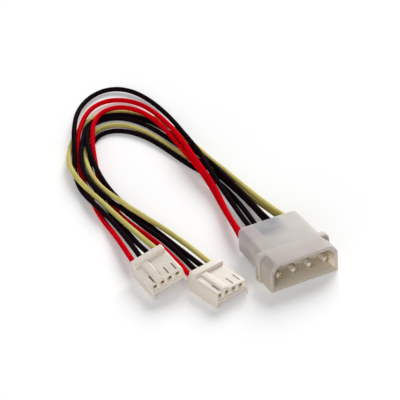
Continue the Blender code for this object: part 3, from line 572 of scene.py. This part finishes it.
def slit_ring(x, radius, slit_width, slit_depth):
    """An outline about a pin's axis with a slit in its top."""
    half_angle = math.asin(slit_width / 2 / radius)
    start = math.pi / 2 + half_angle
    sweep = 2 * math.pi - 2 * half_angle
    outline = []
    for step in range(PIN_SIDES):
        angle = start + sweep * step / (PIN_SIDES - 1)
        outline.append((x + radius * math.cos(angle), PIN_HEIGHT + radius * math.sin(angle)))
    floor = PIN_HEIGHT + radius * math.cos(half_angle) - slit_depth
    outline.append((x + slit_width / 2, floor))
    outline.append((x - slit_width / 2, floor))
    return outline


def make_pin(index, x):
    """A rolled pin: hollow rounded nose, straight shank with a slit, grooved barrel, open crimp."""
    levels = []
    for along, share in PIN_NOSE:
        ring = slit_ring(x, PIN_RADIUS * share, PIN_SLIT * share, PIN_SLIT_DEPTH * share)
        levels.append((PIN_TIP + along, ring))
    levels.append((HOLLOW_REAR - 0.2, slit_ring(x, PIN_RADIUS, PIN_SLIT / 2, 0.12)))
    levels.append((HOLLOW_REAR, slit_ring(x, PIN_RADIUS, PIN_SLIT / 2, SEAM_DEPTH)))
    groove = BARREL_RADIUS - STOP_GROOVE_DEPTH
    inner = CRIMP_RADIUS - CRIMP_WALL
    profile = [
        (BARREL_FRONT, PIN_RADIUS), (BARREL_FRONT + 0.1, BARREL_RADIUS - 0.1),
        (BARREL_FRONT + 0.3, BARREL_RADIUS), (STOP_GROOVE_FRONT, BARREL_RADIUS),
        (STOP_GROOVE_FRONT + 0.1, groove), (STOP_GROOVE_REAR - 0.1, groove),
        (STOP_GROOVE_REAR, BARREL_RADIUS), (BARREL_REAR, BARREL_RADIUS), (BARREL_REAR + 0.3, CRIMP_RADIUS),
        (CRIMP_END, CRIMP_RADIUS), (CRIMP_END, inner), (BARREL_REAR + 1.2, inner)]
    for y, radius in profile:
        levels.append((y, slit_ring(x, radius, PIN_SLIT, SEAM_DEPTH)))
    pin = solid_object(f"pin_{index + 1}", *stack(levels))
    shade_by_angle(pin, PIN_CREASE)
    return pin


def socket_placement(place):
    """Stand a socket on the table, leaning on its left rail."""
    lean = math.radians(place["lean"])
    lift = SOCKET_FOOT_HALF * math.sin(lean)
    return (Matrix.Translation((place["x"], place["y"], lift))
            @ Matrix.Rotation(math.radians(place["turn"]), 4, "Z")
            @ Matrix.Rotation(-lean, 4, "Y"))


def socket_corners():
    """The socket's section: flat top, hollow flare at the foot and two rails to stand on."""
    half = SOCKET_HALF_WIDTH
    return mirrored([
        (RAIL_INNER, SOCKET_UNDERSIDE, 0.2), (RAIL_INNER, 0.6, 0.1), (RAIL_INNER + 0.3, 0.0, 0.08),
        (SOCKET_FOOT_HALF, 0.0, 0.08), (half + 0.29, 0.5, 0.5), (half + 0.11, 1.2, 0.8),
        (half, 2.2, 1.0), (half, SOCKET_TOP - 0.45, 0.12), (half - 0.4, SOCKET_TOP, 0.3)])


def top_slots():
    """Cutters for the slots in a socket's top, one for each contact."""
    low = CONTACT_HEIGHT + CHAMBER_HEIGHT / 2 - 0.3
    slots = []
    for left, right in TOP_SLOTS:
        corners = box_section(left, right, low, SOCKET_TOP + 2, SHARP)
        whole = rounded(corners, 1)
        end = rounded(inset(corners, 0.04), 1)
        slots.append(stack([(SLOT_FRONT, end), (SLOT_FRONT + 0.1, whole), (SLOT_REAR - 0.1, whole),
                            (SLOT_REAR, end)]))
    return slots


def pin_way(x):
    """Cutter for one pin's way in: a square funnel in the front face, then a square hole."""
    z = CONTACT_HEIGHT + PIN_WAY_RISE
    return stack([(y, square(x, z, half, half, PIN_WAY_ROUNDING)) for y, half in PIN_WAY])


def chamber(x):
    """Cutter for one contact's chamber, open to the rear."""
    reach = CHAMBER_WIDTH / 2
    rise = CHAMBER_HEIGHT / 2
    low = CONTACT_HEIGHT - rise
    high = CONTACT_HEIGHT + rise
    corners = box_section(x - reach, x + reach, low, high, CHAMBER_ROUNDING)
    return stack(flared_cut(corners, SOCKET_LENGTH, FRONT_WALL, 0.1, 0.1))


def mark_painted_shade(shell):
    """Mark the points of the ways, slots and chambers, where painted shade makes them darker than the
    outside.
    """
    marks = shell.data.attributes.new("hollow", "FLOAT", "POINT")
    for point, mark in zip(shell.data.vertices, marks.data):
        x, y, z = point.co / MM
        deep = 0.7 < y < SOCKET_LENGTH - 0.6 and abs(x) < PAINTED_SHADE_HALF
        mark.value = 1.0 if deep and SOCKET_UNDERSIDE + 0.3 < z < SOCKET_TOP - 0.35 else 0.0


def make_socket_shell(side, placement):
    """One socket moulding with its rear bar, key, contact chambers, pin ways and top slots."""
    body = soft_block(socket_corners(), 0, SOCKET_LENGTH, SOCKET_EDGE)
    shell = solid_object(f"socket_shell_{side}", *stack(body))
    bar = mirrored([(REAR_BAR_HALF, SOCKET_TOP - 1, SHARP), (REAR_BAR_HALF, REAR_BAR_TOP, REAR_BAR_ROUNDING)])
    combine(shell, "UNION", [stack(soft_block(bar, REAR_BAR_FRONT, SOCKET_LENGTH - 0.1, 0.4))])
    key_foot = SOCKET_TOP - 0.6
    key = [(KEY_LEFT, key_foot, SHARP), (KEY_RIGHT, key_foot, SHARP), (KEY_RIGHT, KEY_TOP, KEY_ROUNDING),
           (KEY_LEFT, KEY_TOP, KEY_ROUNDING)]
    combine(shell, "UNION", [stack(soft_block(key, 0.05, REAR_BAR_FRONT + 0.9, 0.3))])
    face = [(-FACE_HALF, FACE_FOOT, 0.15), (FACE_HALF, FACE_FOOT, 0.15), (FACE_HALF, FACE_TOP, 0.1),
            (-FACE_HALF, FACE_TOP, 0.1)]
    face_cut = [(-1.0, rounded(face)), (FACE_SETBACK, rounded(inset(face, 0.06)))]
    combine(shell, "DIFFERENCE", [stack(face_cut)])
    combine(shell, "DIFFERENCE", [chamber(x) for x in contact_places()])
    combine(shell, "DIFFERENCE", [pin_way(x) for x in contact_places()])
    combine(shell, "DIFFERENCE", top_slots())
    mark_painted_shade(shell)
    shell.data.transform(Matrix.Translation(placement.translation * MM) @ placement.to_3x3().to_4x4())
    soften(shell, SOCKET_BREAK)
    return shell


def grip_leaf(x, way):
    """One bowed leaf inside a contact, on the side that way gives."""
    base = x + way * (CONTACT_HALF_WIDE - CONTACT_METAL - 0.02)
    low = CONTACT_HEIGHT - LEAF_HALF_TALL
    high = CONTACT_HEIGHT + LEAF_HALF_TALL
    levels = []
    for along, bow in LEAF_BOW:
        left = base - way * bow - LEAF_HALF_METAL
        right = base - way * bow + LEAF_HALF_METAL
        levels.append((CONTACT_FRONT + along, [(left, low), (right, low), (right, high), (left, high)]))
    return stack(levels)


def make_contact(side, index, x, placement):
    """A folded square contact, open to the front, with two grip leaves and a crimped tail."""
    rear = CONTACT_FRONT + CONTACT_BOX_LENGTH
    box = [(rear - 0.7, CONTACT_METAL, 0.08), (CONTACT_FRONT + 0.25, CONTACT_METAL, 0.08),
           (CONTACT_FRONT, CONTACT_METAL / 2, 0.1), (CONTACT_FRONT, 0.06, 0.12),
           (CONTACT_FRONT + 0.06, 0, 0.15), (rear, 0, 0.15)]
    levels = [(y, square(x, CONTACT_HEIGHT, CONTACT_HALF_WIDE - within, CONTACT_HALF_TALL - within, rounding))
              for y, within, rounding in box]
    for along, half in CONTACT_TAIL:
        levels.append((rear + along, square(x, CONTACT_HEIGHT, half, half, CONTACT_TAIL_ROUNDING)))
    skins = [stack(levels), grip_leaf(x, -1), grip_leaf(x, 1)]
    item = solid_object(f"contact_{side}_{index + 1}_metal", *gather(skins), placement)
    shade_by_angle(item, CONTACT_CREASE)
    return item


def mix(first, second, t, start, stop):
    """The value at t on the line from the first, at start, to the second, at stop."""
    share = (t - start) / (stop - start)
    return first * (1 - share) + second * share


def blend(t, knots, corners):
    """One point of a centripetal Catmull-Rom span."""
    level = list(corners)
    for width in (1, 2):
        level = [mix(level[i], level[i + 1], t, knots[i], knots[i + width]) for i in range(4 - width)]
    return mix(level[0], level[1], t, knots[1], knots[2])


def smooth_curve(points):
    """Read a smooth curve through the route points, a short step apart."""
    route = np.array(points, dtype=float)
    route = np.vstack([2 * route[0] - route[1], route, 2 * route[-1] - route[-2]])
    curve = []
    for index in range(1, len(route) - 2):
        corners = route[index - 1:index + 3]
        knots = [0.0]
        for start, stop in zip(corners[:-1], corners[1:]):
            knots.append(knots[-1] + np.linalg.norm(stop - start) ** 0.5)
        count = max(2, int(np.linalg.norm(corners[2] - corners[1]) / CURVE_STEP) + 1)
        for t in np.linspace(knots[1], knots[2], count, endpoint=False):
            curve.append(blend(t, knots, corners))
    curve.append(route[-2])
    return np.array(curve)


def even_steps(curve, step):
    """Points along a curve at equal distances close to the step."""
    lengths = np.linalg.norm(np.diff(curve, axis=0), axis=1)
    along = np.concatenate([[0.0], np.cumsum(lengths)])
    places = np.linspace(0.0, along[-1], int(round(along[-1] / step)) + 1)
    return np.column_stack([np.interp(places, along, curve[:, axis]) for axis in range(3)])


def calm(values, inner, passes):
    """Move each inner value halfway to the middle of its neighbours, pass after pass."""
    for _ in range(passes):
        middle = (values[inner - 1] + values[inner + 1]) / 2
        result = values.copy()
        result[inner] += (middle - values[inner]) / 2
        values = result
    return values


def near_pairs(points, owner, reach):
    """Pairs of points on different wires that lie within reach of one another."""
    distance = ((points[:, None, :] - points[None, :, :]) ** 2).sum(axis=2)
    return np.nonzero((distance < reach ** 2) & (owner[:, None] < owner[None, :]))


def push_once(points, pairs, need):
    """How far each point is pushed away from the wires that it is too close to."""
    first, second = pairs
    apart = points[first] - points[second]
    distance = np.sqrt((apart ** 2).sum(axis=1))[:, None] + 1e-9
    push = np.maximum(0, need - distance) * apart / distance
    touching = (distance < need).astype(float)
    total = np.zeros_like(points)
    count = np.zeros((len(points), 1))
    for side, sign in ((first, 1), (second, -1)):
        np.add.at(total, side, sign * push)
        np.add.at(count, side, touching)
    return total / np.maximum(1, count) / 2


def push_apart(curves):
    """Let the wires press on one another and on the table until none touch.

    Their ends stay held by the plug and the sockets for the first few millimetres.
    """
    need = WIRE_DIAMETER + WIRE_SPACING
    floor = WIRE_DIAMETER / 2 + TABLE_CLEARANCE
    pieces = [even_steps(curve, PUSH_STEP) for curve in curves]
    owner = np.concatenate([np.full(len(piece), index) for index, piece in enumerate(pieces)])
    freedom = []
    inner = []
    start = 0
    for piece in pieces:
        along = np.arange(len(piece)) * PUSH_STEP
        from_end = np.minimum(along, along[-1] - along)
        freedom.append(np.clip((from_end - HELD_LENGTH) / EASING_LENGTH, 0, 1))
        inner.append(np.arange(start + 1, start + len(piece) - 1))
        start += len(piece)
    freedom = np.concatenate(freedom)[:, None]
    inner = np.concatenate(inner)
    home = np.vstack(pieces)
    broad = calm(home, inner, CALM_PASSES)
    home = home + freedom * (broad + calm(home - broad, inner, CALM_PASSES) - home)
    now = home.copy()
    for turn in range(PUSH_ROUNDS):
        if turn % PAIRS_EVERY == 0:
            pairs = near_pairs(now, owner, need + PAIR_MARGIN)
        now += freedom * push_once(now, pairs, need)
        if turn < PUSH_ROUNDS - SETTLING_ROUNDS:
            now = home + calm(now - home, inner, SETTLING_PASSES)
        now[:, 2] = np.maximum(now[:, 2], floor)
    return np.split(now, np.cumsum([len(piece) for piece in pieces])[:-1])


def wire_route(name, placements):
    """The whole route: out of the plug, along the route points and into the socket."""
    pin, aside, up, socket, contact = WIRE_ENDS[name]
    spread = WIRE_DIAMETER + WIRE_PAIR_GAP
    x = pin_places()[pin] + aside * spread
    z = PIN_HEIGHT + up * spread
    leave = PLUG_REAR + WIRE_END_GAP
    out = [(x, y, z) for y in (CRIMP_END + WIRE_END_GAP, leave, leave + STRAIGHT_EXIT)]
    across = contact_places()[contact]
    arrive = SOCKET_LENGTH + WIRE_END_GAP
    into = [tuple(placements[socket] @ Vector((across, y, CONTACT_HEIGHT)))
            for y in (arrive + STRAIGHT_EXIT, arrive, CONTACT_END + WIRE_END_GAP)]
    return out + ROUTES[name] + into


def make_wire(name, points):
    """One round wire along its route, drawn in by a hair so that it stays in the solid model's box."""
    curve = bpy.data.curves.new(name, "CURVE")
    curve.dimensions = "3D"
    curve.bevel_depth = WIRE_DIAMETER / 2 * MM
    curve.bevel_resolution = WIRE_ROUNDNESS
    curve.use_fill_caps = True
    line = curve.splines.new("POLY")
    line.points.add(len(points) - 1)
    for target, point in zip(line.points, points):
        target.co = (point[0] * WIRE_DRAW_IN[0] * MM, point[1] * WIRE_DRAW_IN[1] * MM, point[2] * MM, 1.0)
    line.use_smooth = True
    item = bpy.data.objects.new(name.replace("wire_", "insulation_"), curve)
    bpy.context.scene.collection.objects.link(item)
    return item


def fill(tree, item, values):
    """Set a node's inputs: a number or colour is set on the input, another node's output is linked."""
    for key, value in values.items():
        if isinstance(value, bpy.types.NodeSocket):
            tree.links.new(value, item.inputs[key])
        else:
            item.inputs[key].default_value = value


def place(tree, kind, values=None, **settings):
    """Add a node with its settings and its inputs."""
    item = tree.nodes.new(kind)
    for key, value in settings.items():
        setattr(item, key, value)
    fill(tree, item, values or {})
    return item


def noise(tree, where, size, detail, distortion=0.0):
    """A cloudy value from 0 to 1 that changes from place to place."""
    return place(tree, "ShaderNodeTexNoise", {
        "Vector": where, "Scale": size, "Detail": detail, "Distortion": distortion}).outputs["Fac"]


def stretch(tree, value, low, high, to_low=0.0, to_high=1.0, **settings):
    """A value from one range spread over another."""
    return place(tree, "ShaderNodeMapRange", {
        "Value": value, "From Min": low, "From Max": high, "To Min": to_low, "To Max": to_high},
        **settings).outputs["Result"]


def work_out(tree, operation, *values):
    """The result of one operation on one or two values."""
    return place(tree, "ShaderNodeMath", dict(enumerate(values)), operation=operation).outputs["Value"]


def ramp(tree, value, ends):
    """A soft step from 0 to 1 along a place value, with both ends in millimetres."""
    return stretch(tree, value, ends[0] * MM, ends[1] * MM, interpolation_type="SMOOTHSTEP")


def times(tree, *values):
    """The product of several values."""
    total = values[0]
    for value in values[1:]:
        total = work_out(tree, "MULTIPLY", total, value)
    return total


def tinted(tree, under, amount, color):
    """Lay a colour over the one below by an amount."""
    return place(tree, "ShaderNodeMix", {"Factor": amount, 6: under, 7: color}, data_type="RGBA").outputs[2]


def seen_straight(tree):
    """1 for rays from the camera, off a glossy surface or through a clear one, and 0 for all others."""
    rays = place(tree, "ShaderNodeLightPath").outputs
    seen = work_out(tree, "MAXIMUM", rays["Is Camera Ray"], rays["Is Glossy Ray"])
    return work_out(tree, "MAXIMUM", seen, rays["Is Transmission Ray"])


def new_group(name, inputs, outputs):
    """An empty shader group with named sockets: inputs are (name, kind, value)."""
    group = bpy.data.node_groups.new(name, "ShaderNodeTree")
    for label, kind, value in inputs:
        socket = group.interface.new_socket(label, in_out="INPUT", socket_type="NodeSocket" + kind)
        if value is not None:
            socket.default_value = value
    for label, kind in outputs:
        group.interface.new_socket(label, in_out="OUTPUT", socket_type="NodeSocket" + kind)
    start = group.nodes.new("NodeGroupInput")
    end = group.nodes.new("NodeGroupOutput")
    return group, start.outputs, end.inputs


def grain_group():
    """Fine moulding grain with slow waviness, as a height."""
    group, start, end = new_group("moulding_grain", [
        ("Place", "Vector", None), ("Grain Size", "Float", 2500.0),
        ("Wave Size", "Float", 260.0), ("Wave Share", "Float", 0.4)],
        [("Height", "Float")])
    fine = noise(group, start["Place"], start["Grain Size"], 3.0)
    slow = noise(group, start["Place"], start["Wave Size"], 1.0)
    both = place(group, "ShaderNodeMix", {"Factor": start["Wave Share"], "A": fine, "B": slow},
                 data_type="FLOAT")
    group.links.new(both.outputs["Result"], end["Height"])
    return group


def drift_group():
    """Two close tints of one colour that change over from patch to patch, with rarer darker flecks."""
    group, start, end = new_group("colour_drift", [
        ("Place", "Vector", None), ("Main", "Color", None),
        ("Second", "Color", None), ("Fleck", "Color", None),
        ("Patch Size", "Float", 120.0), ("Fleck Share", "Float", 0.2)],
        [("Color", "Color")])
    patch = stretch(group, noise(group, start["Place"], start["Patch Size"], 3.0), 0.35, 0.65)
    tint = tinted(group, start["Main"], patch, start["Second"])
    finer = work_out(group, "MULTIPLY", start["Patch Size"], FLECK_FINENESS)
    rare = stretch(group, noise(group, start["Place"], finer, 2.0), 0.56, 0.72)
    amount = work_out(group, "MULTIPLY", rare, start["Fleck Share"])
    group.links.new(tinted(group, tint, amount, start["Fleck"]), end["Color"])
    return group


def rub_group():
    """Handling marks: a roughness that is lower where fingers have polished the surface."""
    group, start, end = new_group("rubbed_sheen", [
        ("Place", "Vector", None), ("Dull", "Float", 0.5),
        ("Polished", "Float", 0.35), ("Mark Size", "Float", 300.0)],
        [("Roughness", "Float")])
    marks = noise(group, start["Place"], start["Mark Size"], 4.0, 0.8)
    sheen = stretch(group, marks, 0.3, 0.7, start["Dull"], start["Polished"])
    group.links.new(sheen, end["Roughness"])
    return group


def start_material(name):
    """A new material: itself, its nodes, its shader and the place on the object."""
    material = bpy.data.materials.new(name)
    material.use_nodes = True
    tree = material.node_tree
    where = place(tree, "ShaderNodeTexCoord").outputs["Object"]
    return material, tree, tree.nodes["Principled BSDF"], where


def rgb(color):
    """A colour as the eye reads it, 0 to 255, turned into light."""
    return tuple(((value / 255 + 0.055) / 1.055) ** 2.4 if value > 10 else value / 255 / 12.92
                 for value in color) + (1.0,)


def surface(name, groups, colors, drift, sheen, grain):
    """A used surface with drifting colour, handling sheen and fine grain.

    drift is the size of the patches and the share of the flecks, sheen is the roughness where dull, where
    polished and the size of the marks, and grain is the grain's and waves' sizes, the waves' share, the
    depth in millimetres and the strength.
    """
    material, tree, shader, where = start_material(name)
    main, second, fleck = [rgb(color) for color in colors]
    tint = place(tree, "ShaderNodeGroup", {
        "Place": where, "Main": main, "Second": second, "Fleck": fleck, "Patch Size": drift[0],
        "Fleck Share": drift[1]}, node_tree=groups["drift"]).outputs["Color"]
    rub = place(tree, "ShaderNodeGroup", {
        "Place": where, "Dull": sheen[0], "Polished": sheen[1], "Mark Size": sheen[2]},
        node_tree=groups["rub"]).outputs["Roughness"]
    height = place(tree, "ShaderNodeGroup", {
        "Place": where, "Grain Size": grain[0], "Wave Size": grain[1], "Wave Share": grain[2]},
        node_tree=groups["grain"]).outputs["Height"]
    bump = place(tree, "ShaderNodeBump", {"Height": height, "Strength": grain[4], "Distance": grain[3] * MM})
    fill(tree, shader, {"Base Color": tint, "Roughness": rub, "Normal": bump.outputs["Normal"]})
    return material, tree, shader, where, tint


def make_nylon(groups):
    """Milky nylon: dark wires and barrels show through its rear, and its hollow front gets painted light,
    with olive painted shade towards its ceiling.
    """
    material, tree, shader, where, color = surface(
        "milky_nylon", groups, NYLON, (160.0, 0.3), (0.5, 0.4, 350.0), PLASTIC_GRAIN)
    axes = place(tree, "ShaderNodeSeparateXYZ", {"Vector": where})
    x, y, z = axes.outputs["X"], axes.outputs["Y"], axes.outputs["Z"]
    cloudy = stretch(tree, noise(tree, where, 260.0, 2.0), 0.3, 0.6, 0.55, 1.0)
    rear = times(tree, ramp(tree, y, NYLON_REAR_Y), cloudy)
    over_black = times(tree, rear, ramp(tree, x, OVER_BLACK_LEFT), ramp(tree, x, OVER_BLACK_RIGHT))
    # inside marks the shroud's hollow for its painted light; the shade ramp adds painted shade under its
    # ceiling
    inside = times(tree, ramp(tree, work_out(tree, "ABSOLUTE", x), HOLLOW_SIDES), ramp(tree, z, HOLLOW_FLOOR),
                   ramp(tree, z, HOLLOW_CEILING), ramp(tree, y, HOLLOW_MOUTH), ramp(tree, y, HOLLOW_BACK))
    layers = (
        (times(tree, ramp(tree, y, NYLON_FRONT_Y), cloudy), NYLON_FRONT),
        (times(tree, ramp(tree, z, NYLON_LOW_Z), ramp(tree, y, NYLON_LOW_Y)), NYLON_LOW),
        (over_black, NYLON_OVER_BLACK),
        (times(tree, rear, ramp(tree, x, OVER_RED)), NYLON_OVER_RED),
        (inside, NYLON_HOLLOW_PAINTED_LIGHT),
        (times(tree, inside, ramp(tree, z, HOLLOW_SHADE)), NYLON_HOLLOW_PAINTED_SHADE))
    for amount, layer in layers:
        color = tinted(tree, color, amount, rgb(layer))
    fill(tree, shader, {
        "Base Color": color, "Subsurface Weight": 0.8, "Subsurface Radius": (1.0, 0.92, 0.85),
        "Subsurface Scale": 0.0025, "Specular IOR Level": 0.2})
    return material


def make_ivory(groups):
    """Ivory plastic of the sockets, with painted shade in their hollows that makes them darker and yellower.
    """
    material, tree, shader, _, color = surface(
        "ivory_plastic", groups, IVORY, (260.0, 0.3), (0.52, 0.4, 350.0), PLASTIC_GRAIN)
    # hollow marks the ways, slots and chambers, which take painted shade
    hollow = place(tree, "ShaderNodeAttribute", attribute_name="hollow").outputs["Fac"]
    fill(tree, shader, {
        "Base Color": tinted(tree, color, hollow, rgb(IVORY_HOLLOW_PAINTED_SHADE)), "Subsurface Weight": 0.15,
        "Subsurface Radius": (1.0, 0.8, 0.6), "Subsurface Scale": 0.0006, "Specular IOR Level": 0.35})
    return material


def make_insulation(groups):
    """The wires' coloured insulation, by colour name."""
    made = {}
    for name, colors, gloss in (("red", RED, 0.1), ("black", BLACK, 0.1), ("yellow", YELLOW, 0.2)):
        made[name], tree, shader, *_ = surface(
            name + "_insulation", groups, colors, (220.0, 0.35), (0.5, 0.4, 350.0), PLASTIC_GRAIN)
        fill(tree, shader, {"Specular IOR Level": gloss, "IOR": WIRE_IOR})
    return made


def make_metal(name, groups, colors, dull, polished, metallic):
    """Plated sheet metal with faint tarnish and rubbed patches, and a brown tint at a pin's tip for its bare
    brass and for painted shade.
    """
    material, tree, shader, where, color = surface(
        name, groups, colors, (500.0, 0.5), (dull, polished, 900.0), METAL_GRAIN)
    along = place(tree, "ShaderNodeSeparateXYZ", {"Vector": where}).outputs["Y"]
    # The tip's tint is partly bare brass and partly painted shade
    tip_brass_and_shade = ramp(tree, along, (PIN_TIP + 0.3, PIN_TIP + 0.05))
    fill(tree, shader, {"Base Color": tinted(tree, color, tip_brass_and_shade, rgb(TIN_TIP_BRASS_AND_SHADE)), "Metallic": metallic})
    return material


def make_table_top():
    """A white sheet that stays white where it is lit and keeps the soft shadow."""
    material, tree, shader, where = start_material("white_sheet")
    tone = stretch(tree, noise(tree, where, 900.0, 2.0), 0.0, 1.0, 0.93, 0.95)
    fill(tree, shader, {
        "Base Color": tone, "Roughness": 0.95, "Specular IOR Level": 0.0, "Emission Color": (1, 1, 1, 1),
        "Emission Strength": work_out(tree, "MULTIPLY", seen_straight(tree), TABLE_LIFT)})
    half = TABLE_HALF_SIZE
    corners = [(-half, -half, 0), (half, -half, 0), (half, half, 0), (-half, half, 0)]
    table = solid_object("table_sheet", corners, [(0, 1, 2, 3)])
    table.data.materials.append(material)


def make_sky():
    """Even light all round, white where the camera or a reflection sees it."""
    world = bpy.data.worlds.new("studio")
    world.use_nodes = True
    tree = world.node_tree
    level = stretch(tree, seen_straight(tree), 0.0, 1.0, SKY_LEVEL, 1.0)
    fill(tree, tree.nodes["Background"], {"Color": (1, 1, 1, 1), "Strength": level})
    bpy.context.scene.world = world


def make_light(name, travel, power, spread):
    """A soft sun whose light goes the way that travel points, with its spread in degrees."""
    light = bpy.data.lights.new(name, "SUN")
    light.energy = power
    light.angle = math.radians(spread)
    item = bpy.data.objects.new(name, light)
    item.rotation_mode = "QUATERNION"
    item.rotation_quaternion = Vector(travel).to_track_quat("-Z", "Y")
    bpy.context.scene.collection.objects.link(item)


def make_camera():
    """The photograph's camera, from its place, turn, drop and roll."""
    turn = math.radians(CAMERA_TURN)
    drop = math.radians(CAMERA_DROP)
    roll = math.radians(CAMERA_ROLL)
    ahead = Vector((math.sin(turn) * math.cos(drop), math.cos(turn) * math.cos(drop), -math.sin(drop)))
    level = Vector((math.cos(turn), -math.sin(turn), 0))
    upright = level.cross(ahead)
    right = level * math.cos(roll) - upright * math.sin(roll)
    up = level * math.sin(roll) + upright * math.cos(roll)
    camera = bpy.data.cameras.new("camera")
    camera.lens = CAMERA_LENS
    camera.sensor_width = CAMERA_SENSOR
    item = bpy.data.objects.new("camera", camera)
    matrix = Matrix((right, up, -ahead)).transposed().to_4x4()
    matrix.translation = Vector(CAMERA_PLACE) * MM
    item.matrix_world = matrix
    bpy.context.scene.collection.objects.link(item)
    bpy.context.scene.camera = item


def dress(item, material, slot, *nodes):
    """Give a piece its material, let it ride on the cable and stand for its CAD nodes."""
    item.data.materials.clear()
    item.data.materials.append(material)
    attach(item, "root")
    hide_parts(*nodes)


def make_cable():
    """Make every piece of the cable, dressed and named for its CAD nodes."""
    groups = {"grain": grain_group(), "drift": drift_group(), "rub": rub_group()}
    insulation = make_insulation(groups)
    nylon = make_nylon(groups)
    ivory = make_ivory(groups)
    tin = make_metal("tinned_pin", groups, TIN, 0.34, 0.24, 0.35)
    brass = make_metal("contact_brass", groups, BRASS, 0.45, 0.35, 0.4)
    placements = {"left": socket_placement(LEFT_SOCKET), "right": socket_placement(RIGHT_SOCKET)}
    curves = [smooth_curve(wire_route(name, placements)) for name in ROUTES]
    for name, line in zip(ROUTES, push_apart(curves)):
        color = name.split("_")[1]
        points = even_steps(smooth_curve(line), WIRE_POINT_STEP)
        wire = make_wire(name, points)
        dress(wire, insulation[color], color + "_insulation", name)
    dress(make_plug_shell(), nylon, "clear_nylon", "plug_housing")
    for index, x in enumerate(pin_places()):
        dress(make_pin(index, x), tin, "tinned_pin", f"power_pin_{index + 1}")
    for side, placement in placements.items():
        dress(make_socket_shell(side, placement), ivory, "ivory_plastic", f"drive_socket_{side}")
        for index, x in enumerate(contact_places()):
            dress(make_contact(side, index, x, placement), brass, "contact_brass",
                  f"contact_{side}_{index + 1}")


make_camera()
make_sky()
make_light("key_light", KEY_LIGHT_TRAVEL, KEY_LIGHT_POWER, KEY_LIGHT_SPREAD)
make_light("fill_light", FILL_LIGHT_TRAVEL, FILL_LIGHT_POWER, FILL_LIGHT_SPREAD)
make_cable()
make_table_top()
bpy.context.scene.view_settings.view_transform = "Standard"
